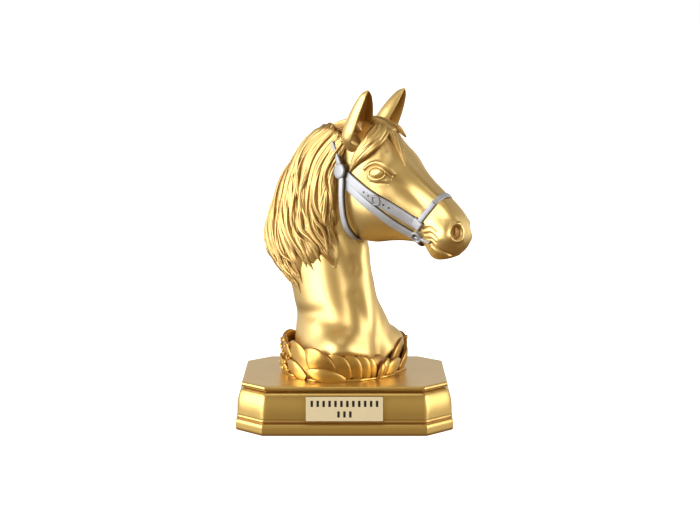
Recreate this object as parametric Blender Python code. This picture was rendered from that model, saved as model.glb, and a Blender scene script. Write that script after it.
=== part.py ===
"""Horse-head trophy: a gilded resin bust with a halter and a laurel foot, on a moulded plinth with a name plate.

Metres, +Z up. The origin is the middle of the plinth's underside, and the name plate faces -Y.
The bust is carved in its own drawing: millimetres, x forward in the horse's own middle plane,
y to the horse's left, z up from the plinth's top. BUST_HEIGHT scales that drawing.
"""

import math

import bmesh
import bpy
import numpy as np

# Plinth
PLINTH_WIDTH = 0.1272
PLINTH_DEPTH = 0.0980
PLINTH_HEIGHT = 0.0283
CORNER_CUT = 0.0160
SLAB_THICKNESS = 0.0027
SLAB_INSET = 0.0034
NECK_INSET = 0.0049
NECK_HEIGHT = 0.0009
BELLY_INSET = 0.0006
FOOT_HEIGHT = 0.0068
MITRE_ROUNDING = 0.0016

# Name plate
PLATE_WIDTH = 0.0450
PLATE_HEIGHT = 0.0150
PLATE_THICKNESS = 0.0008
PLATE_CENTRE = 0.0162
STROKE_DEPTH = 0.0002
STROKE_WIDTH = 0.0012
STROKE_HEIGHT = 0.0038
STROKE_PITCH = 0.0034
ROW_GAP = 0.0024
ROW_STROKES = (12, 3)

# Bust
BUST_HEIGHT = 0.1692
BUST_PLACE = (0.0, 0.0020)
CHEST_TURN = math.radians(-44)
HEAD_TURN = math.radians(-36)
SEAM = 0.0003
VOXEL = 0.0008
BUST_FACETS = 8400

# The drawing's own height and the levels between which the neck twists, in its millimetres
DRAWN_HEIGHT = 169.2
TWIST_FROM, TWIST_TO = 10.0, 85.0
EYE_PLACE = (35.4, 121.9)
FACE_SLOPE = math.radians(-40)


def flow(keys, at):
    """A smooth line through (place, value, ...) keys, read at the places given: cubic Hermite pieces."""
    table = np.asarray(keys, float)
    places, values = table[:, 0], table[:, 1:]
    slopes = np.gradient(values, places, axis=0)
    at = np.clip(np.asarray(at, float), places[0], places[-1])
    i = np.clip(np.searchsorted(places, at, side="right") - 1, 0, len(places) - 2)
    step = places[i + 1] - places[i]
    t = ((at - places[i]) / step)[..., None]
    step = step[..., None]
    made = (
        (2 * t**3 - 3 * t**2 + 1) * values[i]
        + (t**3 - 2 * t**2 + t) * step * slopes[i]
        + (3 * t**2 - 2 * t**3) * values[i + 1]
        + (t**3 - t**2) * step * slopes[i + 1]
    )
    return made[..., 0] if made.shape[-1] == 1 else made


def ease(x, low, high):
    """0 below low, 1 above high, and a smooth step between."""
    t = np.clip((x - low) / (high - low), 0, 1)
    return t * t * (3 - 2 * t)


def unit(v):
    return v / np.maximum(np.linalg.norm(v, axis=-1, keepdims=True), 1e-12)


# Head: stations run along the face line from behind the ears to the lips, in the drawing's millimetres
DORSAL = ((-36, 12), (-28, 15), (-15, 15.6), (0, 14.2), (12, 13.2), (30, 13.1), (45, 13.3), (56, 11.8), (67, 10.4))
VENTRAL = (
    (-36, -8), (-28, -15), (-20, -24), (-12, -33), (-4, -40), (4, -43.8), (11, -43.8), (19, -38.6),
    (27, -29.8), (36.5, -21.2), (43, -17.4), (49, -16.0), (56, -16.2), (67, -14.5),
)
# station, then half-widths at the bridge, brow, middle, cheek and jaw's edge
WIDTHS = (
    (-36, 8, 12, 12.5, 11, 6), (-25, 9, 13.5, 14.5, 13, 8), (-12, 10.5, 15.5, 15.5, 14.5, 9.5),
    (0, 11.5, 17, 16.2, 14.8, 9.5), (9, 10.2, 16.3, 16, 14.2, 9), (19, 8.4, 13.2, 14.6, 12.6, 7.5),
    (29, 7.2, 10.8, 12.2, 10.8, 6.4), (39, 6.6, 9.6, 10.8, 9.6, 6), (49, 6.6, 10.4, 11.8, 10.4, 6.4),
    (56, 6.8, 11.4, 12.4, 10.8, 6.8), (67, 6.4, 10.4, 11.6, 10.4, 6.4),
)
LEVELS = (0.035, 0.26, 0.5, 0.75, 0.955)
MUZZLE_CAP = (49.0, 63.8)
NAPE_CAP = (-30.0, -37.0)


def cap(a, start, end, power):
    """1 up to start, and then a rounded fall to 0 at end."""
    x = np.clip((a - start) / (end - start), 0, 1)
    return (1 - x**power) ** (1 / power)


def head_section(a, v):
    """Half-width and height over the eye line, at station a and share v of the way from bridge to jaw."""
    shut = cap(a, *MUZZLE_CAP, 2.2) * cap(a, *NAPE_CAP, 2.0)
    top, bottom = flow(DORSAL, a), flow(VENTRAL, a)
    middle = 0.45 * top + 0.55 * bottom + 1.5 * ease(a, 46, 64)
    top, bottom = middle + (top - middle) * shut, middle + (bottom - middle) * shut
    widths = flow(WIDTHS, a) * shut[..., None]
    across = [0 * a] + [widths[..., k] for k in range(5)] + [0 * a]
    down = [top] + [top + (bottom - top) * share for share in LEVELS] + [bottom]
    across = np.stack([-across[1]] + across + [-across[5]], -1)
    down = np.stack([down[1]] + down + [down[5]], -1)
    place = np.clip(v * 6, 0, 6 - 1e-9)
    k = place.astype(int)
    t = place - k

    def through(points):
        p = [np.take_along_axis(points, (k + j)[..., None], -1)[..., 0] for j in range(4)]
        return 0.5 * (
            2 * p[1]
            + (p[2] - p[0]) * t
            + (2 * p[0] - 5 * p[1] + 4 * p[2] - p[3]) * t**2
            + (3 * p[1] - p[0] - 3 * p[2] + p[3]) * t**3
        )

    return through(across), through(down)


def from_face(a, b, w):
    """Face coordinates (along the face, over the eye line, to the left) as the drawing's x, y, z."""
    x = EYE_PLACE[0] + a * math.cos(FACE_SLOPE) - b * math.sin(FACE_SLOPE)
    z = EYE_PLACE[1] + a * math.sin(FACE_SLOPE) + b * math.cos(FACE_SLOPE)
    return np.stack([x, w + 0 * x, z], -1)


def rounded_range(low, high, count, power=0.5):
    """Places from low to high that crowd towards high, as a round end needs."""
    t = np.linspace(0, 1, count)
    return low + (high - low) * ((1 - power) * t + power * np.sin(t * math.pi / 2))


def head_skin(rows, columns):
    a = np.concatenate([
        NAPE_CAP[0] + (NAPE_CAP[1] - NAPE_CAP[0]) * np.cos(np.linspace(0, math.pi / 2, 5))[:-1],
        rounded_range(NAPE_CAP[0], MUZZLE_CAP[1], rows, 0.6),
    ])
    turn = np.linspace(0, 2, columns, endpoint=False)
    v = np.where(turn > 1, 2 - turn, turn)
    side = np.where(turn > 1, 1.0, -1.0)
    aa, vv = np.meshgrid(a, v, indexing="ij")
    w, b = head_section(aa, vv)
    return aa, b, w * side


def bump(a, b, w, centre, reach, height):
    """A rounded swelling, or a hollow if its height is negative, on both sides of the face."""
    away = (
        ((a - centre[0]) / reach[0]) ** 2
        + ((b - centre[1]) / reach[1]) ** 2
        + ((np.abs(w) - centre[2]) / reach[2]) ** 2
    )
    return height * np.exp(-away)


def line_distance(x, y, line):
    """Distance from points to a line of straight pieces, in a plane."""
    best = np.full(np.shape(x), 1e9)
    for (x0, y0), (x1, y1) in zip(line[:-1], line[1:]):
        length = (x1 - x0) ** 2 + (y1 - y0) ** 2
        t = np.clip(((x - x0) * (x1 - x0) + (y - y0) * (y1 - y0)) / length, 0, 1)
        best = np.minimum(best, np.hypot(x - x0 - t * (x1 - x0), y - y0 - t * (y1 - y0)))
    return best


MOUTH_LINE = ((49.5, -8.2), (54.5, -10.2), (59.5, -10.6), (70, -8.0))


def face_relief(a, b, w):
    """How far the carving stands over the head's plain form."""
    lift = bump(a, b, w, (1, 7.5, 17), (8, 4.5, 9), 3.2)
    lift += bump(a, b, w, (0, 0, 17), (3.6, 2.8, 8), 1.5)
    lift += bump(a, b, w, (0, 4.0, 17), (6.5, 1.3, 8), -0.9)
    lift += bump(a, b, w, (-11, 4, 16), (6, 5, 9), -1.6)
    lift += bump(a, b, w, (6, -8, 17), (12, 5, 9), 0.7)
    lift += bump(a, b, w, (21, -2.5, 14), (13, 2.6, 9), 1.1)
    lift += bump(a, b, w, (22, 4.2, 12), (14, 2.4, 9), -1.3)
    lift += bump(a, b, w, (4, -20, 16), (17, 15, 12), 1.4)
    lift += bump(a, b, w, (57.5, 4.5, 11), (6, 7.5, 7), 1.6)
    lift += bump(a, b, w, (48, 8, 9), (5, 3.2, 7), -1.2)
    lift += bump(a, b, w, (58.5, 3.6, 12), (2.2, 3.6, 9), -3.4)
    lift += bump(a, b, w, (54, -14.5, 0), (5.5, 5, 12), 1.3)
    lift += bump(a, b, w, (43.5, -16, 0), (4, 6, 12), -1.4)
    lift -= 1.1 * np.exp(-((line_distance(a, b, MOUTH_LINE) / 0.9) ** 2)) * (a > 48)
    return lift


def grid_normals(points):
    """Outward directions of a grid that closes round its columns."""
    along = np.gradient(points, axis=0)
    around = np.roll(points, -1, 1) - np.roll(points, 1, 1)
    return unit(np.cross(around, along))


def head_form(rows, columns):
    a, b, w = head_skin(rows, columns)
    plain = from_face(a, b, w)
    return plain + face_relief(a, b, w)[..., None] * grid_normals(plain)


# Neck: share of the way up, then the spine's x and z, the reach forward and back, and the half-width
NECK = (
    (0.00, 0.5, -3, 28, 34, 33), (0.12, 0.5, 11, 30, 36.2, 30.5), (0.25, -2, 25, 30, 34.5, 25),
    (0.38, -6, 39, 29, 31.5, 21), (0.50, -10.5, 53, 29.7, 28.6, 19.5), (0.63, -15, 69, 31.5, 29, 18.5),
    (0.76, -16.5, 88, 29, 30, 17), (0.88, -11, 109, 27, 28, 15), (0.96, -2, 127, 21, 23, 13.5),
    (1.00, 8, 138.5, 14, 15, 12),
)


def neck_point(share, angle):
    """The neck's plain surface; angle 0 is the throat, half a turn the crest, and below 0 the right side."""
    x, z, ahead, behind, half = np.moveaxis(flow(NECK, share), -1, 0)
    near, far = flow(NECK, share + 0.01), flow(NECK, share - 0.01)
    rise = unit(near[..., :2] - far[..., :2])
    reach = np.where(np.cos(angle) > 0, ahead, behind) * np.cos(angle)
    side = half * np.sign(np.sin(angle)) * np.abs(np.sin(angle)) ** (1 + 0.25 * (np.cos(angle) < 0))
    return np.stack([x + reach * rise[..., 1], side, z - reach * rise[..., 0]], -1)


def neck_relief(points):
    """Shoulders, the hollow between them, and the grooves beside the windpipe."""
    x, y, z = np.moveaxis(points, -1, 0)
    side = np.abs(y)

    def swelling(centre, reach, height):
        away = ((x - centre[0]) / reach[0]) ** 2 + ((side - centre[1]) / reach[1]) ** 2
        return height * np.exp(-away - ((z - centre[2]) / reach[2]) ** 2)

    lift = swelling((20, 24, 19), (13, 12, 12), 6.5)
    lift += swelling((32, 0, 14), (16, 5.5, 22), -3.4)
    lift += swelling((12, 18, 55), (11, 11, 26), -1.2)
    return lift


# The seat's reach by degrees from the breast, which the garland lies on
BED = ((-180, 35), (-148, 35.5), (-125, 34), (-100, 33), (-72, 35), (-52, 32.5), (-30, 30.5), (0, 30),
       (28, 30.5), (48, 34), (70, 36.5), (110, 36), (150, 35), (180, 35))
TUCK_DEPTH = 1.5


def collar_radius(turn):
    """Reach of the garland's bed, which goes in at the breast."""
    return flow(BED, np.degrees(np.mod(turn + math.pi, 2 * math.pi) - math.pi))


def tucked(points):
    """The neck drawn in behind the garland: below its top the reach is held inside the bed."""
    x, y, z = np.moveaxis(points, -1, 0)
    reach = np.hypot(x, y)
    limit = collar_radius(np.arctan2(y, x)) - TUCK_DEPTH + 9.0 * ease(z, 9, 24)
    held = limit - np.logaddexp(0, 2.0 * (limit - reach)) / 2.0
    return np.stack([x * held / reach, y * held / reach, z], -1)


def neck_form(rows, columns):
    share = np.linspace(0, 1, rows)
    angle = np.linspace(0, 2 * math.pi, columns, endpoint=False)
    plain = neck_point(*np.meshgrid(share, angle, indexing="ij"))
    return tucked(plain + neck_relief(plain)[..., None] * grid_normals(plain))


def neck_over(share, angle, lift):
    """A point that far over the neck's skin."""
    step = 1e-3
    here = neck_point(share, angle)
    up = neck_point(share + step, angle) - neck_point(share - step, angle)
    round_ = neck_point(share, angle + step) - neck_point(share, angle - step)
    normal = unit(np.cross(round_, up))
    return here + normal * np.asarray(lift)[..., None], normal


def swept(path, normal, half_width, half_depth, columns, squareness=1.0):
    """A closed band or lock along a path: an oval section, flat to the surface that it lies on."""
    path, normal = np.asarray(path, float), np.asarray(normal, float)
    ahead = unit(np.gradient(path, axis=0))
    across = unit(np.cross(ahead, normal))
    out = np.cross(across, ahead)
    turn = np.linspace(0, 2 * math.pi, columns, endpoint=False)
    cos = np.sign(np.cos(turn)) * np.abs(np.cos(turn)) ** squareness
    sin = np.sign(np.sin(turn)) * np.abs(np.sin(turn)) ** squareness
    half_width = np.broadcast_to(half_width, len(path))[:, None, None]
    half_depth = np.broadcast_to(half_depth, len(path))[:, None, None]
    return (
        path[:, None]
        + across[:, None] * cos[:, None] * half_width
        + out[:, None] * sin[:, None] * half_depth
    )


def over_head(a, b, lift, side=-1.0):
    """Points that far over the head's skin, at face coordinates a and b, and the directions out of it there."""

    def skin(a, b):
        v = np.linspace(0, 1, 161)
        w, down = head_section(np.repeat(a[:, None], 161, 1), np.repeat(v[None], len(a), 0))
        reach = np.array([np.interp(-b[i], -down[i], w[i]) for i in range(len(a))])
        reach = reach + face_relief(a, b, reach)
        return from_face(a, b, side * reach)

    a, b = np.asarray(a, float), np.asarray(b, float)
    along = skin(a + 0.6, b) - skin(a - 0.6, b)
    upward = skin(a, b + 0.6) - skin(a, b - 0.6)
    out = unit(np.cross(along, upward))
    out *= np.sign(np.sum(out * np.array([0.0, side, 0.0]), -1, keepdims=True))
    return skin(a, b) + out * lift, out


def along_keys(keys, count):
    """Even steps along a smooth line through the keys."""
    keys = np.asarray(keys, float)
    gone = np.concatenate([[0], np.cumsum(np.linalg.norm(np.diff(keys, axis=0), axis=1))])
    return flow(np.column_stack([gone, keys]), np.linspace(0, gone[-1], count))


# Ears: the middle of the root, the tip, and the way that the opening faces, for the right ear
EAR_ROOT = (14.2, -11.0, 134.0)
EAR_TIP = (30.2, -18.5, 169.2)
EAR_HALF_WIDTH = 7.3
EAR_HALF_DEPTH = 7.3
EAR_OPENING = math.radians(-8)
EAR_SHAPE = (
    (0, 0.5, 0.5), (0.09, 0.96, 0.9), (0.2, 1.22, 1.12), (0.32, 1.22, 1.14), (0.47, 1.06, 1.05), (0.65, 0.88, 0.9),
    (0.82, 0.6, 0.66), (0.93, 0.34, 0.4),
    (1, 0.08, 0.1),
)


def ear_form(side, rows=18, columns=20):
    root, tip = np.array(EAR_ROOT), np.array(EAR_TIP)
    root[1] *= -side
    tip[1] *= -side
    axis = unit(tip - root)
    front = np.array([math.cos(EAR_OPENING), -side * math.sin(EAR_OPENING), 0.0])
    front = unit(front - axis * (front @ axis))
    across = np.cross(axis, front)
    t = np.linspace(0, 1, rows)
    shape = flow(EAR_SHAPE, t)
    turn = np.linspace(-math.pi, math.pi, columns, endpoint=False)
    opened = np.clip(1 - (np.abs(turn) / 1.12) ** 3, 0, 1) ** 0.8
    scoop = opened[None] * (ease(t, 0.18, 0.36) * (1 - ease(t, 0.9, 1)))[:, None]
    reach = np.cos(turn)[None] * (1 - 1.25 * scoop)
    return (
        root + (tip - root) * t[:, None, None]
        + front * (reach * shape[:, 1:2])[..., None] * EAR_HALF_DEPTH
        + across * (np.sin(turn)[None] * shape[:, 0:1])[..., None] * EAR_HALF_WIDTH
    )


# Mane: share of the way up the neck and angle round it, at each lock's root and tip, then width and stand
LOCKS = (
    (1.00, -1.42, 0.78, -0.84, 2.6, 1.2), (1.00, -1.65, 0.66, -0.84, 3.0, 1.4),
    (1.00, -1.95, 0.55, -0.94, 3.2, 1.6), (0.995, -2.25, 0.60, -1.18, 3.0, 2.2),
    (0.985, -2.50, 0.56, -1.38, 3.2, 2.2), (0.97, -2.75, 0.58, -1.58, 3.2, 2.6),
    (0.95, -2.95, 0.53, -1.76, 3.2, 2.8), (0.91, -3.05, 0.47, -1.95, 3.4, 2.8),
    (0.87, -3.08, 0.52, -2.12, 3.4, 3.4), (0.83, -3.10, 0.54, -2.32, 3.4, 4.2),
    (0.79, -3.12, 0.58, -2.52, 3.4, 5.2), (0.76, -3.14, 0.60, -2.76, 3.4, 6.0),
)
# How far the hair stands off the crest, by the share of the way up the neck
MANE_STAND = ((0.5, 0.0), (0.6, 2.0), (0.65, 4.6), (0.7, 6.4), (0.76, 3.8), (0.85, 1.4), (0.93, 0.8), (1.0, 0.8))


def mane_stand(share, angle):
    """How thick the hair lies: thickest over the crest, and thin beside the cheek."""
    round_ = np.mod(angle + 2 * math.pi, 2 * math.pi)
    return 0.8 + flow(MANE_STAND, share) * np.exp(-(((round_ - math.pi * 1.04) / 0.75) ** 2))


def mane_form(rows=30, columns=24):
    """The hair under the locks: a sheet over the right side and the crest, closed inside the neck."""
    share = np.linspace(0.56, 1.0, rows)
    angle = np.linspace(-3.6, -1.15, columns)
    ss, aa = np.meshgrid(share, angle, indexing="ij")
    edge = ease(ss, 0.56, 0.64) * ease(aa, -3.6, -3.3) * (1 - ease(aa, -1.5, -1.15))
    outer, _ = neck_over(ss, aa, (mane_stand(ss, aa) + 0.4) * edge - 1.0 * (1 - edge))
    inner, _ = neck_over(ss[:, ::-1], aa[:, ::-1], -3.5 + 0 * ss)
    return np.concatenate([outer, inner], 1)


def lock_form(root_share, root_angle, tip_share, tip_angle, half_width, stand, rows=16, columns=8):
    t = np.linspace(0, 1, rows)
    share = root_share + (tip_share - root_share) * t
    angle = root_angle + (tip_angle - root_angle) * (0.75 * t + 0.25 * np.sin(t * math.pi / 2) ** 2)
    lift = mane_stand(share, angle) * (1 - ease(t, 0.7, 1.0)) + 0.4 + 0.25 * stand * np.sin(math.pi * t)
    path, normal = neck_over(share, angle, lift)
    taper = flow(((0, 0.75), (0.25, 1), (0.65, 0.9), (0.88, 0.5), (1, 0.08)), t)
    return swept(path, normal, half_width * taper, 1.9 * taper + 0.15, columns)


# Forelock: face coordinates a and b, the side offset from the middle, half-width and half-depth
FORELOCK = (
    ((-26, 15.0, 1, 3.6, 2.0), (-19.5, 15.4, 6, 5.4, 2.4), (-16.0, 9.8, 13, 6.0, 2.3),
     (-15.8, 2.4, 15.2, 4.9, 2.0), (-16.2, -5.6, 15.4, 3.2, 1.4), (-15.5, -12.5, 15.2, 0.6, 0.4)),
    ((-27, 15.0, -2, 3.0, 2.0), (-19, 15.9, 1, 3.6, 2.2), (-11, 15.2, 2.2, 3.2, 2.0),
     (-1.6, 14.2, 5, 2.4, 1.4), (8.2, 11.6, 8.6, 0.5, 0.4)),
    ((-27, 14.5, -4, 2.5, 1.8), (-21, 15.8, -6, 3.0, 2.0), (-16, 15.6, -9, 2.6, 1.8),
     (-12.5, 14, -12, 0.8, 0.6)),
)


FORELOCK_STAND = 0.8
POLL = ((34, 149.5, 5, 3), (26, 152.0, 8, 4), (12, 152.0, 9, 4.5), (-2, 148.6, 9, 4.5), (-14, 140.5, 7, 4))


def poll_form():
    """The hair that lies over the poll between the ears, from the crest to the forelock."""
    x, z, wide, deep = along_keys(POLL, 16).T
    path = np.stack([x, 0 * x - 1.0, z - deep + 1.0], -1)
    return swept(path, np.repeat([[0.0, 0.0, 1.0]], 16, 0), wide, deep, 14)


def forelock_forms():
    for keys in FORELOCK:
        line = along_keys([(a, b, -w) for a, b, w, _, _ in keys], 18)
        sizes = along_keys([(k * 10.0, wide, deep) for k, (_, _, _, wide, deep) in enumerate(keys)], 18)
        path = from_face(line[:, 0], line[:, 1], line[:, 2])
        middle = from_face(line[:, 0], line[:, 1] * 0.1 - 2, 0 * line[:, 2])
        out = unit(path - middle)
        yield swept(path + FORELOCK_STAND * out, out, sizes[:, 1], sizes[:, 2], 10)


# Halter: centre lines in face coordinates, with half-widths, for the right side
STRAP_STAND = 1.2
CHEEK_STRAP = ((-20, -17.6), (-13.6, -16.5), (-1.8, -14.2), (7, -12.1), (15.1, -10.3), (24.5, -8.6), (36, -6.4))
JAW_STRAP = ((-19, -20.6), (-13, -20.3), (3, -18.4), (15.5, -17.1), (27, -16.2), (38, -13.9))
NOSE_STRAP = ((36.8, -5.5), (36.6, -1.3), (36.1, 4.5), (35.8, 9.4))
STRAP_HALF_WIDTHS = (3.1, 2.4, 1.6)
THROAT_HALF_WIDTH = 1.7
# The throat strap in the drawing, from the disc to the middle under the throat
THROAT_LINE = ((10.2, -16.6, 121.5), (10.8, -17.5, 115), (10.8, -17.8, 108), (11.1, -17.6, 101), (11.8, -17.0, 94.5),
               (13.2, -15.9, 88.8), (14.6, -13.2, 84.8), (14.4, -8.5, 82.3), (13.6, 0.0, 81.6))
THROAT_MIDDLE = (13.0, 92.0)
DISC_PLACE = (9.4, -15.6, 121.6)
CROWN_TOP = (2.0, -14.4, 138.5)
DISC_RADIUS = 4.6
RING_PLACE = (39.9, -13.0)
RING_RADIUS, RING_WIRE = 2.9, 0.75
KEEPER_PLACE = (36.6, -6.0)
KEEPER_HALF = 2.9
BIT_LINE = ((42.0, -12.4), (46, -10.2), (49.7, -8.0))


def strap(path, normal, half_width, rows_depth=STRAP_STAND):
    return swept(path, normal, half_width, rows_depth, 12, 0.45)


def throat_band(rows):
    """Path and directions of the throat strap from one disc round to the other: it faces away from
    an upright line inside the neck, and below its foot away from a point there."""
    near = np.array(THROAT_LINE)
    far = near[-2::-1] * np.array([1.0, -1.0, 1.0])
    path = along_keys(np.concatenate([near, far]), rows)
    x, y, z = path.T
    out = np.stack([0.4 * (x - THROAT_MIDDLE[0]), y, np.minimum(z - THROAT_MIDDLE[1], 0.0)], -1)
    return path, unit(out)


def halter_forms(side):
    for line, half_width in zip((CHEEK_STRAP, JAW_STRAP, NOSE_STRAP), STRAP_HALF_WIDTHS):
        points = along_keys(line, 22)
        yield strap(*over_head(points[:, 0], points[:, 1], 0.25, side), half_width)
    disc, crown = np.array(DISC_PLACE), np.array(CROWN_TOP)
    disc[1] *= -side
    crown[1] *= -side
    out = unit(np.array([-0.25, side, 0.1]))
    path = crown + (disc - crown) * np.linspace(0, 1, 8)[:, None]
    yield strap(path, np.repeat(out[None], 8, 0), np.linspace(1.0, 2.1, 8))
    yield button(disc, out, DISC_RADIUS, 1.6)
    middle, normal = over_head([KEEPER_PLACE[0]], [KEEPER_PLACE[1]], 0.3, side)
    yield strap(middle[0] + np.linspace(-KEEPER_HALF, KEEPER_HALF, 6)[:, None] * np.array([0.77, 0, -0.64]),
                np.repeat(normal, 6, 0), KEEPER_HALF, 1.5)
    points = along_keys(BIT_LINE, 8)
    yield swept(*over_head(points[:, 0], points[:, 1], 0.4, side), np.linspace(1.3, 0.7, 8), 0.9, 8)
    middle, normal = over_head([RING_PLACE[0]], [RING_PLACE[1]], 0.6, side)
    yield ring(middle[0], normal[0], RING_RADIUS, RING_WIRE)


def bridge_and_chin_forms():
    """The straps that cross the middle: over the nose, under the chin and round the throat."""
    for left, through, right, half_width in (
        (NOSE_STRAP[-1], (34.9, 13.2), NOSE_STRAP[-1], STRAP_HALF_WIDTHS[2]),
        (RING_PLACE, (41.5, -18.0), RING_PLACE, STRAP_HALF_WIDTHS[2]),
    ):
        near, near_out = over_head([left[0]], [left[1]], 0.25, -1.0)
        far, far_out = over_head([right[0]], [right[1]], 0.25, 1.0)
        up = 1.0 if through[1] > 0 else -1.0
        middle = from_face(np.array([through[0]]), np.array([through[1] + 0.3 * up]), np.zeros(1))
        middle_out = from_face(np.zeros(1), np.full(1, up), np.zeros(1)) - from_face(*np.zeros((3, 1)))
        half_near = 0.5 * (near + middle) + 1.2 * unit(near_out + middle_out)
        half_far = 0.5 * (far + middle) + 1.2 * unit(far_out + middle_out)
        path = along_keys(np.concatenate([near, half_near, middle, half_far, far]), 16)
        outs = along_keys(np.concatenate([near_out, unit(near_out + middle_out), middle_out,
                                          unit(far_out + middle_out), far_out]), 16)
        yield strap(path, unit(outs), half_width)
    yield strap(*throat_band(48), THROAT_HALF_WIDTH)


def frame_of(out):
    first = unit(np.cross(out, np.array([0.0, 0.0, 1.0])))
    return first, np.cross(out, first)


def button(middle, out, radius, stand):
    """A low domed disc."""
    first, second = frame_of(out)
    turn = np.linspace(0, 2 * math.pi, 16, endpoint=False)[None, :, None]
    profile = np.array([(1.0, -1.2), (1.0, 0.5), (0.82, 0.9), (0.4, 1.0)])
    reach, lift = profile[:, :1, None] * radius, profile[:, 1:, None] * stand
    return middle + reach * (np.cos(turn) * first + np.sin(turn) * second) + lift * out


def ring(middle, out, radius, wire):
    """A round ring of wire, as rows round it of a closed section."""
    first, second = frame_of(out)
    turn = np.linspace(0, 2 * math.pi, 20, endpoint=False)
    path = middle + radius * (np.cos(turn)[:, None] * first + np.sin(turn)[:, None] * second)
    spoke = unit(path - middle)
    small = np.linspace(0, 2 * math.pi, 8, endpoint=False)
    return (
        path[:, None]
        + wire * np.cos(small)[None, :, None] * spoke[:, None]
        + 1.6 * wire * np.sin(small)[None, :, None] * out
    )


# Garland: leaves leave the chest on both sides and lean back
COLLAR_HEIGHT = 15.0
FLANGE_REACH = 2.6
LEAF_HALF_DEPTH = 1.6
LEAF_TILT = 0.16
# Each leaf: degrees from the breast at its base and tip, its heights there, half-width and stand
LEAVES = (
    (-108, -146, 3.5, 20.0, 7.4, 0.0), (-134, -170, 3.0, 20.5, 7.2, 0.3), (-158, -192, 3.0, 20.0, 7.0, 0.0),
    (-80, -118, 3.5, 19.0, 7.8, 0.2), (-57, -88, 3.0, 17.5, 7.2, 0.4), (-43, -62, 1.5, 15.8, 5.8, 0.5),
    (-31, -46, 1.5, 15.2, 5.0, 0.6), (-21, -33, 1.5, 14.8, 4.4, 0.7), (-13, -22, 2.0, 13.5, 3.2, 0.9),
    (-84, -116, 0.8, 8.5, 4.6, 1.4), (-46, -84, 0.6, 6.0, 4.4, 1.8), (-116, -150, 0.8, 8.5, 4.6, 1.2),
    (-152, -184, 0.8, 8.5, 4.6, 1.2), (-8, -1, 1.0, 9.5, 2.2, 1.6), (-3, 9, 1.0, 11.0, 3.2, 0.6),
    (130, 160, 3.0, 20.0, 7.2, 0.0), (104, 136, 3.0, 19.0, 7.2, 0.2), (78, 108, 3.0, 18.5, 7.0, 0.3),
    (50, 76, 3.0, 20.0, 6.0, 0.2), (18, 48, 6.0, 19.5, 4.8, 0.2), (34, 62, 2.0, 12.5, 5.0, 0.9),
    (2, 34, 3.0, 8.0, 4.4, 1.2), (64, 96, 0.8, 8.5, 4.6, 1.2), (100, 134, 0.8, 8.5, 4.6, 1.2),
    (148, 172, 2.0, 19.5, 6.6, 0.3), (136, 164, 0.8, 8.5, 4.6, 1.2),
)


def round_base(turn, radius, z):
    return np.stack([radius * np.cos(turn), radius * np.sin(turn), z + 0 * turn], -1)


def collar_form(columns=64):
    turn = np.linspace(0, 2 * math.pi, columns, endpoint=False)
    bed = collar_radius(turn)
    profile = ((FLANGE_REACH, -3), (FLANGE_REACH, 0.9), (FLANGE_REACH - 1.2, 1.7), (0.4, 4), (-0.6, 9),
               (-2.0, COLLAR_HEIGHT - 3), (-4, COLLAR_HEIGHT - 1), (-12, COLLAR_HEIGHT - 2))
    return np.stack([round_base(turn, bed + out, z) for out, z in profile])


def leaf_form(base_turn, tip_turn, base_z, tip_z, half_width, stand, rows=12, columns=10):
    """A broad flat leaf, tilted so that its edge away from the breast stands over the next one."""
    t = np.linspace(0, 1, rows)
    turn = np.radians(base_turn + (tip_turn - base_turn) * t)
    z = base_z + (tip_z - base_z) * (0.35 * t + 0.65 * np.sin(t * math.pi / 2))
    bow = 0.6 + 1.4 * np.sin(math.pi * t) + 1.3 * t**3 + stand
    path = round_base(turn, collar_radius(turn) - 0.07 * z + bow, z)
    out = unit(np.stack([np.cos(turn), np.sin(turn), 0.15 + 0 * turn], -1))
    way = unit(np.gradient(path, axis=0))
    out = unit(out + LEAF_TILT * np.cross(way, out) * np.sign(tip_turn - base_turn))
    taper = flow(((0, 0.5), (0.2, 0.85), (0.45, 1), (0.72, 0.8), (0.9, 0.42), (1, 0.08)), t)
    return swept(path, out, half_width * taper, LEAF_HALF_DEPTH * (0.35 + 0.65 * taper), columns)


def garland_forms():
    for row in LEAVES:
        yield leaf_form(*row)


def placed(points):
    """The bust's drawing in the world: the neck twists from the chest's turn to the head's."""
    points = np.asarray(points, float)
    turn = CHEST_TURN + (HEAD_TURN - CHEST_TURN) * ease(points[..., 2], TWIST_FROM, TWIST_TO)
    scale = BUST_HEIGHT / DRAWN_HEIGHT
    x = points[..., 0] * np.cos(turn) - points[..., 1] * np.sin(turn)
    y = points[..., 0] * np.sin(turn) + points[..., 1] * np.cos(turn)
    return np.stack(
        [x * scale + BUST_PLACE[0], y * scale + BUST_PLACE[1], points[..., 2] * scale + PLINTH_HEIGHT], -1
    )


def closed_shell(grid, ring_closed=False):
    """Points and faces of a grid whose columns close, with its ends capped or, for a ring, joined."""
    rows, columns = grid.shape[:2]
    points = grid.reshape(-1, 3)
    last = rows if ring_closed else rows - 1
    i, j = np.meshgrid(np.arange(last), np.arange(columns), indexing="ij")
    next_i, next_j = (i + 1) % rows, (j + 1) % columns
    corners = [i * columns + j, i * columns + next_j, next_i * columns + next_j, next_i * columns + j]
    quads = np.stack(corners, -1).reshape(-1, 4)
    faces = [tuple(q) for q in quads.tolist()]
    if not ring_closed:
        points = np.concatenate([points, grid[:1].mean(1), grid[-1:].mean(1)])
        bottom, top = rows * columns, rows * columns + 1
        for j in range(columns):
            k = (j + 1) % columns
            faces.append((bottom, k, j))
            faces.append((top, (rows - 1) * columns + j, (rows - 1) * columns + k))
    inside = points.mean(0)
    size = 0.0
    for face in faces:
        a, b, c = (points[face[n]] - inside for n in (0, 1, 2))
        size += a @ np.cross(b, c)
    if size < 0:
        faces = [face[::-1] for face in faces]
    return points, faces


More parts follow.
